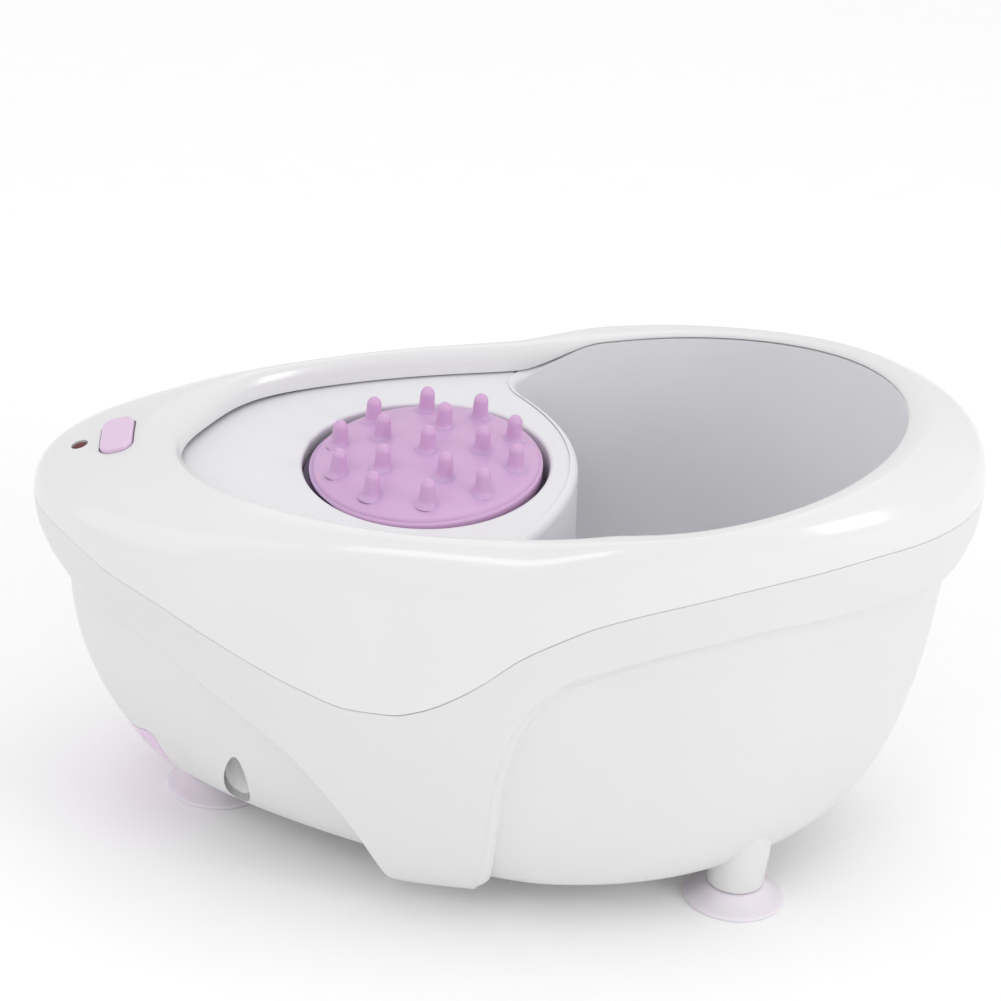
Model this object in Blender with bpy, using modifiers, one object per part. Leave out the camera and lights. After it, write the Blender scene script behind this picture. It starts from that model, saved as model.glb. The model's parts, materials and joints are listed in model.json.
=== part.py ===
"""Hand spa basin: a finger bowl with a vibrating palm rest, standing on three suction cups.

Frame: +X runs from the wrist end to the bowl end, +Y to the left of that, +Z up. The table is z = 0
and the origin is at the middle of the outline. Dimensions are in millimetres and MM turns them into
metres. The basin is symmetric about the plane y = 0.
"""

import math

import bmesh
import bpy
import numpy as np
from mathutils import Matrix, Vector

MM = 0.001
GAP = 0.3

# Outline of the casing
HALF_LENGTH = 134.2
BOTTOM_Z = 11.3
WALL = 2.4

# Opening of the cover
OPENING_LEFT = -101.8
OPENING_RIGHT = 110.0
OPENING_MIDDLE = 36.5
OPENING_HALF_WIDTH = 63.0
OPENING_LOW_Z = 114.7
OPENING_RISE = 21.2
COVER_WALL = 2.2
LIP_ROLL_DEPTH = 6.0
RAMP_SLOPE = 0.33

# Bowl, palm rest and massage pad
BOWL_FLOOR_Z = 31.0
BOWL_CENTRE_X = 62.0
LINER_WALL = 2.4
PAD_X = -24.0
PAD_HOLE = (35.0, 39.0)
PAD_Z = 111.0
PAD_TILT = 0.10
WELL_DEPTH = 15.0
PEG_RADIUS = 2.3
PEG_HEIGHT = 6.5
PAD_DOME = 5.5

# Wrist-end lip: button and lamp sit on the ramp
BUTTON_X = -111.3
BUTTON_SIZE = (9.3, 19.0)
BUTTON_PROUD = 1.3
BOARD_POST = (-10.5, 9.0)
LAMP_X = -121.8
LAMP_HOLE_RADIUS = 2.5
RAMP_TOP_Z = 112.9

# Feet
BOWL_FOOT = (71.6, 44.6)
WRIST_FOOT = (-78.6, 0.0)
CUP_RADIUS = 14.5
POST_RADIUS = 8.9
POST_FOOT_Z = 5.3

# Screws
NOTCH_SCREW = (-71.9, 46.4)
NOTCH_Y = 44.1
NOTCH_RADIUS = 3.8
NOTCH_STRETCH = 1.87
NOTCH_TOP_Z = 45.0

# Battery box, slanted, opening at the lower wrist end
DOOR_HALF_WIDTH = 25.5
DOOR_SPREAD = 6.2
BOX_TILT = math.radians(46.4)
BOX_ENTRY = (-97.5, 22.3)
BOX_START = 11.0
BOX_END = 69.0
CELL_RADIUS = 7.1
CELL_LENGTH = 50.0
CELL_SPACING = 15.6

# Vibration motor, hung under the massage pad with its shaft along Y
MOTOR_RADIUS = 10.0
MOTOR_Z = 94.5
PAD_UNDERSIDE_Z = 107.2
PAD_MOUNTS = ((-24.0, 30.5), (-24.0, -30.5), (-50.5, 0.0), (2.5, 0.0))

# Levels of the hull, from the cover down: height at the wrist and bowl tips, and the outline there
LEVELS = (0.0, 0.10, 0.18, 0.25, 0.32, 0.36, 0.50, 0.64, 0.77, 0.87, 0.94, 1.0)
WRIST_Z = (106, 97, 90, 82, 73, 69.5, 55, 40, 28, 18.5, 13.2, BOTTOM_Z)
BOWL_Z = (127, 117, 109, 101.5, 95, 91, 70, 48, 30, 18.5, 13.2, BOTTOM_Z)

# Raised skin: the band under the cover and the two wings
SKIN = {
    "left": (-134.1, -134.2, -133.2, -130, -124.5, -123.2, -121, -119, -117, -115, -113, -112),
    "right": (133.9, 134.2, 133.8, 131.6, 127.8, 127, 126, 125, 124, 123, 122, 121),
    "width": (73.6, 74, 74.1, 74, 73.9, 73.8, 73.5, 73, 72.2, 70.8, 68.8, 67),
    "middle": (10,) * 12,
    "power": (2.0,) * 12,
}

# Recessed body: both halves of the bowl below the band, beside the wings
BODY = {
    "left": (-128, -128, -127, -125.5, -123, -123, -120.6, -114.9, -107.8, -101.6, -91.9, -83.1),
    "right": (128, 128.5, 128.5, 128, 127, 126.2, 124.1, 119.9, 113.1, 103, 92, 81.8),
    "width": (72, 72, 72, 72, 72, 71.6, 70.9, 69.9, 68.7, 66.8, 64.7, 61.4),
    "middle": (10, 10, 10, 10, 10, 8.7, 8.1, 9.4, 12.1, 13.8, 14.8, 13.7),
    "power": (2.0, 2.0, 2.0, 2.0, 2.0, 2.01, 2.0, 1.94, 1.81, 1.61, 1.45, 1.4),
}
RIGHT_POWER = 2.1

# Where the cover meets the casing, and the lower edge of the raised skin, as heights along X
PARTING_X = (-135, -125, -110, -98, -84, -70, -56, -42, -31, -23, -15, -7, 2.5, 13, 23, 50, 76, 105, 135)
PARTING_Z = (97, 96, 90.5, 87, 81.2, 75.5, 70.8, 67.6, 68.0, 70.5, 75, 81, 89.5, 96, 101, 108.8, 114, 117, 117)
SKIN_EDGE_X = (-135, -123, -101, -86, -71, -58.7, -38.6, -29, -26, -4.5, -3, -1.5, 2.5, 9.3, 16.4, 26.7, 46, 78,
               107, 120, 127, 135)
SKIN_EDGE_Z = (72, 73, 72, 65, 57, 49, 28, 14, 4, 4, 20, 48, 66, 76.5, 83, 87, 93, 99, 100, 98, 95, 94)

COLUMNS = 48


def smooth(x, xs, ys):
    """A monotone cubic through the points (xs, ys), read at x."""
    xs = np.asarray(xs, float)
    ys = np.asarray(ys, float)
    x = np.clip(np.asarray(x, float), xs[0], xs[-1])
    h = np.diff(xs)
    slope = np.diff(ys) / h
    tangent = np.zeros_like(xs)
    same = slope[:-1] * slope[1:] > 0
    w1 = 2 * h[1:] + h[:-1]
    w2 = h[1:] + 2 * h[:-1]
    safe = np.where(same, slope[:-1], 1.0), np.where(same, slope[1:], 1.0)
    tangent[1:-1] = np.where(same, (w1 + w2) / (w1 / safe[0] + w2 / safe[1]), 0.0)
    tangent[0] = slope[0]
    tangent[-1] = slope[-1]
    i = np.clip(np.searchsorted(xs, x) - 1, 0, len(h) - 1)
    s = (x - xs[i]) / h[i]
    a = (1 + 2 * s) * (1 - s) ** 2 * ys[i] + s * s * (3 - 2 * s) * ys[i + 1]
    return a + h[i] * (s * (1 - s) ** 2 * tangent[i] - s * s * (1 - s) * tangent[i + 1])


def outline(theta, left, right, middle, width, power):
    """A point of an egg-shaped outline: the two ends may differ in length and fullness."""
    c, s = math.cos(theta), math.sin(theta)
    p = RIGHT_POWER if c >= 0 else power
    reach = right - middle if c >= 0 else middle - left
    x = middle + math.copysign(reach * abs(c) ** (2 / p), c)
    return x, math.copysign(width * abs(s) ** (2 / p), s)


def level_height(t, x):
    low, high = smooth(t, LEVELS, WRIST_Z), smooth(t, LEVELS, BOWL_Z)
    return float(low + (high - low) * (x + HALF_LENGTH) / (2 * HALF_LENGTH))


def hull(surface, theta, t, inset=0.0):
    """A point of the skin or the body at level t, drawn in sideways by inset."""
    left, right, middle, width, power = (float(smooth(t, LEVELS, surface[k]))
                                         for k in ("left", "right", "middle", "width", "power"))
    x, y = outline(theta, left + inset, right - inset, middle, width - inset, power)
    return Vector((x, y, level_height(t, x)))


def level_where(surface, theta, height_at):
    """The level at which a column of the hull crosses the height given as a function of x."""
    low, high = 0.0, 1.0
    for _ in range(30):
        t = (low + high) / 2
        p = hull(surface, theta, t)
        if p.z > height_at(p.x):
            low = t
        else:
            high = t
    return (low + high) / 2


def parting_height(x):
    return float(smooth(x, PARTING_X, PARTING_Z))


def skin_edge_height(x):
    return float(smooth(x, SKIN_EDGE_X, SKIN_EDGE_Z))


def columns():
    """Angles round the hull, the same on both sides."""
    return [2 * math.pi * i / COLUMNS for i in range(COLUMNS)]


def opening_half_width(x):
    reach = OPENING_RIGHT - OPENING_MIDDLE if x > OPENING_MIDDLE else OPENING_MIDDLE - OPENING_LEFT
    u = min(1.0, abs(x - OPENING_MIDDLE) / reach)
    waist = 1 - 0.04 * math.exp(-((x - 5) / 26) ** 2)
    return OPENING_HALF_WIDTH * waist * math.sqrt(1 - u * u)


def opening_height(x):
    rise = max(x + 80.5, 0) / 190.5
    return OPENING_LOW_Z + OPENING_RISE * rise ** 2


# ---------------------------------------------------------------- Blender helpers

def clear_scene():
    for obj in list(bpy.data.objects):
        bpy.data.objects.remove(obj, do_unlink=True)


def collection(name):
    group = bpy.data.collections.new(name)
    bpy.context.scene.collection.children.link(group)
    return group


def material(name, color, roughness, metallic=0.0):
    mat = bpy.data.materials.new(name)
    mat.use_nodes = True
    shader = mat.node_tree.nodes["Principled BSDF"]
    shader.inputs["Base Color"].default_value = (*color, 1.0)
    shader.inputs["Roughness"].default_value = roughness
    shader.inputs["Metallic"].default_value = metallic
    return mat


def add_object(name, mesh, mat, smooth_shade=True):
    obj = bpy.data.objects.new(name, mesh)
    PARTS.objects.link(obj)
    mesh.materials.append(mat)
    if smooth_shade:
        mesh.shade_smooth()
        mesh.set_sharp_from_angle(angle=math.radians(35))
    return obj


def add_cutter(name, mesh):
    obj = bpy.data.objects.new(name, mesh)
    CUTTERS.objects.link(obj)
    obj.hide_render = True
    obj.display_type = "WIRE"
    return obj


def boolean(obj, cutter, operation):
    mod = obj.modifiers.new(operation.lower(), "BOOLEAN")
    mod.operation = operation
    mod.solver = "EXACT"
    mod.object = cutter
    return mod


def mesh_from(name, bm):
    mesh = bpy.data.meshes.new(name)
    bmesh.ops.recalc_face_normals(bm, faces=bm.faces)
    bm.to_mesh(mesh)
    bm.free()
    return mesh


def loft(name, rings, capped=True):
    """A skin over rings of points in millimetres, with flat ends when capped."""
    bm = bmesh.new()
    verts = [[bm.verts.new(Vector(p) * MM) for p in ring] for ring in rings]
    count = len(verts[0])
    for low, high in zip(verts, verts[1:]):
        for i in range(count):
            j = (i + 1) % count
            bm.faces.new((low[i], low[j], high[j], high[i]))
    if capped:
        bm.faces.new(reversed(verts[0]))
        bm.faces.new(verts[-1])
    return mesh_from(name, bm)


def cylinder(name, radius, bottom, top, centre=(0.0, 0.0), top_radius=None, segments=24):
    bm = bmesh.new()
    bmesh.ops.create_cone(bm, cap_ends=True, segments=segments, radius1=radius * MM,
                          radius2=(radius if top_radius is None else top_radius) * MM,
                          depth=(top - bottom) * MM)
    bmesh.ops.translate(bm, verts=bm.verts, vec=Vector((*centre, (top + bottom) / 2)) * MM)
    return mesh_from(name, bm)


def box(name, low, high, bevel=0.0):
    bm = bmesh.new()
    bmesh.ops.create_cube(bm, size=1.0)
    size = Vector(high) - Vector(low)
    middle = (Vector(high) + Vector(low)) / 2
    bmesh.ops.scale(bm, verts=bm.verts, vec=size * MM)
    bmesh.ops.translate(bm, verts=bm.verts, vec=middle * MM)
    if bevel:
        bmesh.ops.bevel(bm, geom=bm.edges[:], offset=bevel * MM, segments=2, profile=0.5, affect="EDGES")
    return mesh_from(name, bm)


def joined(name, *meshes):
    """One mesh holding the faces of several, for a node made of separate solids or one Boolean tool."""
    bm = bmesh.new()
    for mesh in meshes:
        bm.from_mesh(mesh)
    out = bpy.data.meshes.new(name)
    bm.to_mesh(out)
    bm.free()
    return out


def turned(name, profile, mat, place, steps=24):
    """A solid of revolution about Z. The profile (radius, height) runs down its outer side."""
    mesh = bpy.data.meshes.new(name)
    points = [(r * MM, 0.0, z * MM) for r, z in profile]
    count = len(points)
    ring = profile[0][0] > 0 and profile[-1][0] > 0
    edges = [(i, i + 1) for i in range(count - 1)] + ([(count - 1, 0)] if ring else [])
    mesh.from_pydata(points, edges, [])
    obj = add_object(name, mesh, mat, smooth_shade=False)
    mod = obj.modifiers.new("turn", "SCREW")
    mod.steps = steps
    mod.render_steps = steps
    mod.use_merge_vertices = True
    mod.merge_threshold = 0.00001
    mod.use_smooth_shade = True
    obj.matrix_world = place
    return obj


def at(x, y, z, rotation=None):
    place = Matrix.Translation(Vector((x, y, z)) * MM)
    return place if rotation is None else place @ rotation


def wire(name, points, radius, mat, fine=4):
    """A round wire along a smooth route through the points."""
    curve = bpy.data.curves.new(name, "CURVE")
    curve.dimensions = "3D"
    curve.bevel_depth = radius * MM
    curve.bevel_resolution = 1
    curve.use_fill_caps = True
    route = np.array(points, float)
    u = np.linspace(0, len(route) - 1, fine * (len(route) - 1) + 1)
    keys = np.arange(len(route))
    path = np.stack([smooth(u, keys, route[:, k]) for k in range(3)], axis=1)
    spline = curve.splines.new("POLY")
    spline.points.add(len(path) - 1)
    for point, p in zip(spline.points, path):
        point.co = (*(p * MM), 1.0)
    obj = bpy.data.objects.new(name, curve)
    PARTS.objects.link(obj)
    curve.materials.append(mat)
    return obj


# ---------------------------------------------------------------- lower casing

def hull_solid(name, surface, levels, inset=0.0, floor=0.0):
    rings = []
    for t in levels:
        ring = [hull(surface, theta, t, inset) for theta in columns()]
        rings.append([Vector((p.x, p.y, max(p.z, floor))) for p in ring])
    return loft(name, rings)


def above_curve(name, xs, zs, count, drop=0.0):
    """A slab 170 wide holding everything above the curve z(x), seen from the side."""
    x = np.linspace(-137, 137, count)
    x = np.unique(np.concatenate([x, [v for v in xs if abs(v) < 137]]))
    z = smooth(x, xs, zs) - drop
    profile = list(zip(x, z)) + [(137, 175), (-137, 175)]
    return loft(name, [[Vector((px, y, pz)) for px, pz in profile] for y in (-85, 85)])


def post_cones():
    """The three foot posts, slightly tapered, standing out of the casing's underside."""
    spots = [(BOWL_FOOT[0], BOWL_FOOT[1]), (BOWL_FOOT[0], -BOWL_FOOT[1]), WRIST_FOOT]
    return [cylinder(f"post_{i}", POST_RADIUS - 0.8, POST_FOOT_Z, 15.5, spot, top_radius=POST_RADIUS)
            for i, spot in enumerate(spots)], spots


def build_casing(mat):
    casing = add_object("lower_casing", hull_solid("lower_casing", BODY, LEVELS), mat)
    skin = add_cutter("skin", hull_solid("skin", SKIN, LEVELS))
    boolean(skin, add_cutter("above_skin_edge", above_curve("above_skin_edge", SKIN_EDGE_X, SKIN_EDGE_Z, 12)),
            "INTERSECT")
    boolean(casing, skin, "UNION")
    boolean(casing, add_cutter("above_parting", above_curve("above_parting", PARTING_X, PARTING_Z, 24, GAP)),
            "DIFFERENCE")
    inside = add_cutter("casing_inside", hull_solid("casing_inside", BODY, (0, 0.18, 0.36, 0.5, 0.64, 0.77, 0.87,
                                                    0.94), WALL + 0.4, BOTTOM_Z + WALL))
    boolean(casing, inside, "DIFFERENCE")
    posts, spots = post_cones()
    for i, post in enumerate(posts):
        boolean(casing, add_cutter(f"post_{i}", post), "UNION")
    bores = []
    for i, spot in enumerate(spots[:2]):
        bores.append(cylinder("head_bore", 4.0, 0.0, 13.4, spot, segments=16))
        bores.append(cylinder("shank_bore", 1.9, 10.0, 20.0, spot, segments=12))
    plug_bore = cylinder("plug_bore", 4.0, 0.0, 11.0, WRIST_FOOT, segments=16)
    # Screw pockets in the sides: a boss inside the wall, then a bore open at the bottom
    volume = add_cutter("casing_volume", hull_solid("casing_volume", BODY, (0.36, 0.5, 0.64, 0.77, 0.87, 0.94, 1.0),
                                                    inset=0.05))
    for side in (1, -1):
        spot = (NOTCH_SCREW[0], side * NOTCH_SCREW[1])
        oval = at(NOTCH_SCREW[0], side * NOTCH_Y, 0, Matrix.Diagonal((1.0, NOTCH_STRETCH, 1.0, 1.0)))
        boss_mesh = cylinder("notch_boss", NOTCH_RADIUS + 1.8, BOTTOM_Z + 0.6, NOTCH_TOP_Z + 3.0)
        boss_mesh.transform(oval)
        boss = add_cutter("notch_boss", boss_mesh)
        boolean(boss, volume, "INTERSECT")
        boolean(casing, boss, "UNION")
        pocket = cylinder("notch_bore", NOTCH_RADIUS, 0.0, NOTCH_TOP_Z)
        pocket.transform(oval)
        bores.append(pocket)
        bores.append(cylinder("notch_shank", 1.9, NOTCH_TOP_Z - 2.0, NOTCH_TOP_Z + 13.5, spot, segments=12))
    for i, bore in enumerate(bores + [plug_bore]):
        boolean(casing, add_cutter(f"casing_bore_{i}", bore), "DIFFERENCE")
    boolean(casing, add_cutter("door_opening", door_prism(0.0)), "DIFFERENCE")
    return casing


def door_prism(margin):
    """A slanted block through the lower wrist end: what it covers of the wall is the door."""
    bm = bmesh.new()
    bmesh.ops.create_cube(bm, size=1.0)
    bmesh.ops.scale(bm, verts=bm.verts, vec=Vector((22.0, 2.0, 24.0 - 2 * margin)) * MM)
    for v in bm.verts:
        v.co.y *= DOOR_HALF_WIDTH - margin + DOOR_SPREAD * v.co.z / (12.0 * MM)
    vertical = [e for e in bm.edges if abs(e.verts[0].co.x - e.verts[1].co.x) > 0.01]
    bmesh.ops.bevel(bm, geom=vertical, offset=3.5 * MM, segments=3, profile=0.5, affect="EDGES")
    turn = Matrix.Rotation(-math.radians(46.0), 4, "Y")
    bmesh.ops.transform(bm, verts=bm.verts, matrix=at(-96.8, 0, 19.2, turn))
    return mesh_from("door_prism", bm)


# ---------------------------------------------------------------- upper cover

def cover_section(theta):
    """Outer side of the cover from the parting line up over the lip and down into the opening."""
    side = 1 if math.sin(theta) >= 0 else -1
    level = level_where(SKIN, theta, lambda x: parting_height(x) - 1.5)
    foot = hull(SKIN, theta, level)
    share = (foot.x + HALF_LENGTH) / (2 * HALF_LENGTH)
    x = OPENING_LEFT + share * (OPENING_RIGHT - OPENING_LEFT)
    x = max(OPENING_LEFT, min(OPENING_RIGHT, x))
    edge = Vector((x, side * opening_half_width(x), opening_height(x)))
    outward = Vector((foot.x - edge.x, foot.y - edge.y, 0))
    reach = outward.length
    outward.normalize()
    soft = math.exp(-((x - OPENING_LEFT) / 20) ** 2)
    lip = 4.0 - 1.8 * soft
    roll = 4.0 + 7.0 * soft
    crest = edge + outward * lip + Vector((0, 0, 1.5 - 0.9 * soft))
    end = abs(outward.x) ** 1.5
    slope = 0.12 + (RAMP_SLOPE - 0.12) * end
    reach -= lip
    arm = 0.62 + 0.14 * end
    lift = foot + Vector((0, 0, (crest.z - foot.z) * (0.62 - 0.08 * end)))
    lean = crest + outward * (arm * reach) - Vector((0, 0, arm * reach * slope))
    return foot, lift, lean, crest, outward, roll


def cover_column(theta, rows, roll_rows, inset=0.0):
    foot, lift, lean, crest, outward, roll = cover_section(theta)
    shift = outward * inset + Vector((0, 0, inset))
    foot, lift, lean, crest = (p - shift for p in (foot, lift, lean, crest))
    points = []
    for k in range(rows + 1):
        v = k / rows
        points.append(foot * (1 - v) ** 3 + lift * (3 * v * (1 - v) ** 2) + lean * (3 * v * v * (1 - v))
                      + crest * v ** 3)
    drop = LIP_ROLL_DEPTH + 1.5
    for k in range(1, roll_rows + 1):
        a = math.pi / 2 * k / roll_rows
        points.append(crest - outward * (roll * math.sin(a)) - Vector((0, 0, drop * (1 - math.cos(a)))))
    return points


def ramp_place(x):
    """A frame on the wrist-end ramp at x: its Z is the ramp's normal."""
    tilt = Matrix.Rotation(-math.atan(RAMP_SLOPE), 4, "Y")
    z = RAMP_TOP_Z + (x - BUTTON_X) * RAMP_SLOPE
    return at(x, 0, z, tilt)


def rounded_plate(name, size, low, high, corner, grow=0.0):
    """A plate with rounded corners, size along X and Y, between two heights."""
    bm = bmesh.new()
    bmesh.ops.create_cube(bm, size=1.0)
    bmesh.ops.scale(bm, verts=bm.verts, vec=Vector((size[0] + 2 * grow, size[1] + 2 * grow, high - low)) * MM)
    bmesh.ops.translate(bm, verts=bm.verts, vec=Vector((0, 0, (low + high) / 2)) * MM)
    upright = [e for e in bm.edges if abs(e.verts[0].co.z - e.verts[1].co.z) > 1e-6]
    bmesh.ops.bevel(bm, geom=upright, offset=(corner + grow) * MM, segments=4, profile=0.5, affect="EDGES")
    return mesh_from(name, bm)


def cover_rings(angles, rows, roll_rows, inset=0.0):
    table = [cover_column(theta, rows, roll_rows, inset) for theta in angles]
    return [[column[k] for column in table] for k in range(len(table[0]))]


def build_cover(mat):
    cover = add_object("upper_cover", loft("upper_cover", cover_rings(columns(), 6, 3), capped=False), mat)
    shell = cover.modifiers.new("shell", "SOLIDIFY")
    shell.thickness = COVER_WALL * MM
    shell.offset = -1.0
    boolean(cover, add_cutter("cover_foot", above_curve("cover_foot", PARTING_X, PARTING_Z, 24)), "INTERSECT")
    under = add_cutter("cover_inside", loft("cover_inside", cover_rings(columns(), 6, 0, inset=0.8)))
    clear = add_cutter("boss_clearance", hull_solid("boss_clearance", BODY, (0, 0.18, 0.36, 0.5, 0.64, 0.77),
                                                    WALL + 0.4 + GAP))
    for side in (1, -1):
        spot = (NOTCH_SCREW[0], side * NOTCH_SCREW[1])
        boss = add_cutter("cover_boss", cylinder("cover_boss", 3.6, NOTCH_TOP_Z + 3.3, 118.0, spot, segments=16))
        boolean(boss, clear, "INTERSECT")
        boolean(boss, under, "INTERSECT")
        boolean(cover, boss, "UNION")
        hole = cylinder("cover_hole", 1.6, NOTCH_TOP_Z, NOTCH_TOP_Z + 14.0, spot, segments=12)
        boolean(cover, add_cutter(f"cover_hole_{side}", hole), "DIFFERENCE")
    for side in (1, -1):
        post = add_cutter("board_post", cylinder("board_post", 2.3, -12.1, 6.0, (BOARD_POST[0], side * BOARD_POST[1]),
                                                 segments=12))
        post.data.transform(ramp_place(BUTTON_X))
        boolean(post, under, "INTERSECT")
        boolean(cover, post, "UNION")
        hole = cylinder("board_post_hole", 1.2, -14.0, -5.0, (BOARD_POST[0], side * BOARD_POST[1]), segments=10)
        hole.transform(ramp_place(BUTTON_X))
        boolean(cover, add_cutter("board_post_hole", hole), "DIFFERENCE")
    slot = add_cutter("button_slot", rounded_plate("button_slot", BUTTON_SIZE, -8, 8, 2.6, grow=GAP))
    slot.matrix_world = ramp_place(BUTTON_X)
    boolean(cover, slot, "DIFFERENCE")
    lamp = add_cutter("lamp_hole", cylinder("lamp_hole", LAMP_HOLE_RADIUS, -8, 8))
    lamp.matrix_world = ramp_place(LAMP_X)
    boolean(cover, lamp, "DIFFERENCE")
    return cover


# ---------------------------------------------------------------- bowl liner

def bowl_loop(count=52):
    """Outline of the bowl seen from above: the egg of the opening, closed by the bulging palm bulkhead."""
    right = []
    start = 9.0
    for k in range(19):
        x = start + (OPENING_RIGHT - start) * math.sin(math.pi / 2 * k / 18)
        right.append((x - 1.0 * (x - start) / (OPENING_RIGHT - start), opening_half_width(x) * 0.985))
    control = [(19.0 - 14.0 * (y / 44) ** 2, y) for y in (-44, -30, -15, 0, 15, 30, 44)]
    half = [(2.2, 50.0), (1.6, 54.0), (4.0, 57.2)] + right
    loop = control + half + [(x, -y) for x, y in reversed(half[:-1])]
    pts = np.array(loop)
    closed = np.vstack([pts, pts[:1]])
    length = np.concatenate([[0], np.cumsum(np.hypot(*np.diff(closed, axis=0).T))])
    u = np.linspace(0, length[-1], count, endpoint=False)
    return np.stack([np.interp(u, length, closed[:, 0]), np.interp(u, length, closed[:, 1])], axis=1)


def scaled_ring(loop, scale, z, grow=0.0):
    ring = []
    for x, y in loop:
        d = Vector((x - BOWL_CENTRE_X, y))
        q = d * scale + d.normalized() * grow
        ring.append(Vector((BOWL_CENTRE_X + q.x, q.y, z)))
    return ring


def dish_rings():
    """A slab under the whole opening: its top is the palm platform."""
    count = 56
    loop = []
    for k in range(count):
        a = 2 * math.pi * k / count
        c = math.cos(a)
        reach = OPENING_RIGHT - OPENING_MIDDLE if c > 0 else OPENING_MIDDLE - OPENING_LEFT
        s = math.sin(a) if k % (count // 2) else 0.0
        y = opening_half_width(OPENING_MIDDLE + reach * c)
        loop.append((OPENING_MIDDLE + (reach + 1.4) * c, math.copysign(y, s) + 1.4 * s if s else 0.0))
    top, bottom = [], []
    for scale in (0.0, 0.5, 1.0):
        ring = []
        for x, y in loop:
            px = PAD_X + (x - PAD_X) * scale
            z = opening_height(px) - LIP_ROLL_DEPTH - 0.6 - 2.6 * math.exp(-((px - OPENING_LEFT) / 26) ** 2)
            ring.append(Vector((px, y * scale, z)))
        top.append(ring)
    rings = [[p - Vector((0, 0, LINER_WALL)) for p in top[1]], [p - Vector((0, 0, LINER_WALL)) for p in top[2]],
             top[2], top[1]]
    return rings


def pad_ellipse(grow, bottom, top):
    bm = bmesh.new()
    bmesh.ops.create_cone(bm, cap_ends=True, segments=40, radius1=1.0, radius2=1.0, depth=1.0)
    bmesh.ops.scale(bm, verts=bm.verts,
                    vec=Vector((PAD_HOLE[0] + grow, PAD_HOLE[1] + grow, top - bottom)) * MM)
    bmesh.ops.translate(bm, verts=bm.verts, vec=Vector((PAD_X, 0, (top + bottom) / 2)) * MM)
    return mesh_from("pad_ellipse", bm)


def build_liner(mat):
    liner = add_object("bowl_liner", loft("bowl_liner", dish_rings()), mat)
    loop = bowl_loop()
    steps = ((1.0, 122.0), (0.985, 105.0), (0.93, 72.0), (0.85, 50.0), (0.74, 38.0), (0.60, 32.6), (0.42, BOWL_FLOOR_Z))
    outer = [scaled_ring(loop, s, z - LINER_WALL * (0.2 if s > 0.8 else 1.0), grow=LINER_WALL)
             for s, z in steps[1:]]
    rim = scaled_ring(loop, 0.99, 0.0, grow=LINER_WALL)
    outer.insert(0, [Vector((p.x, p.y, opening_height(p.x) - LIP_ROLL_DEPTH - 1.2)) for p in rim])
    inner = [scaled_ring(loop, s, z) for s, z in steps]
    inner.insert(0, scaled_ring(loop, 1.004, 150.0))
    boolean(liner, add_cutter("bowl_outer", loft("bowl_outer", outer)), "UNION")
    well = pad_ellipse(LINER_WALL, PAD_Z - WELL_DEPTH - LINER_WALL, PAD_Z - 3.0)
    boolean(liner, add_cutter("well_outer", well), "UNION")
    for side in (1, -1):
        spot = (BOWL_FOOT[0], side * BOWL_FOOT[1])
        boss = cylinder("liner_boss", 3.4, 20.3, 44.0, spot, segments=16)
        boolean(liner, add_cutter("liner_boss", boss), "UNION")
    boolean(liner, add_cutter("bowl_inner", loft("bowl_inner", inner)), "DIFFERENCE")
    boolean(liner, add_cutter("well_inner", pad_ellipse(0.0, PAD_Z - WELL_DEPTH, 140.0)), "DIFFERENCE")
    motor_hole = box("motor_hole", (PAD_X - 15, -24, 80), (PAD_X + 15, 24, 120))
    boolean(liner, add_cutter("motor_hole", motor_hole), "DIFFERENCE")
    for side in (1, -1):
        spot = (BOWL_FOOT[0], side * BOWL_FOOT[1])
        hole = cylinder("liner_hole", 1.7, 15.0, 31.0, spot, segments=12)
        boolean(liner, add_cutter("liner_hole", hole), "DIFFERENCE")
    return liner


# ---------------------------------------------------------------- massage pad and its motor

def pad_rim_height(x):
    return PAD_Z - 1.0 + PAD_TILT * (x - PAD_X)


def peg_spots():
    spots = [(0.0, 0.0)]
    spots += [(15.5 * math.cos(2 * math.pi * k / 5), 16.5 * math.sin(2 * math.pi * k / 5)) for k in range(5)]
    spots += [(26.0 * math.cos(2 * math.pi * (k + 0.5) / 10), 29.0 * math.sin(2 * math.pi * (k + 0.5) / 10))
              for k in range(10)]
    return spots


def dome_height(u, v):
    """Height of the pad's dome above its rim, u and v as shares of the half axes."""
    return PAD_DOME * math.sqrt(max(0.0, 1 - 0.96 * min(1.0, u * u + v * v)))


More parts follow.
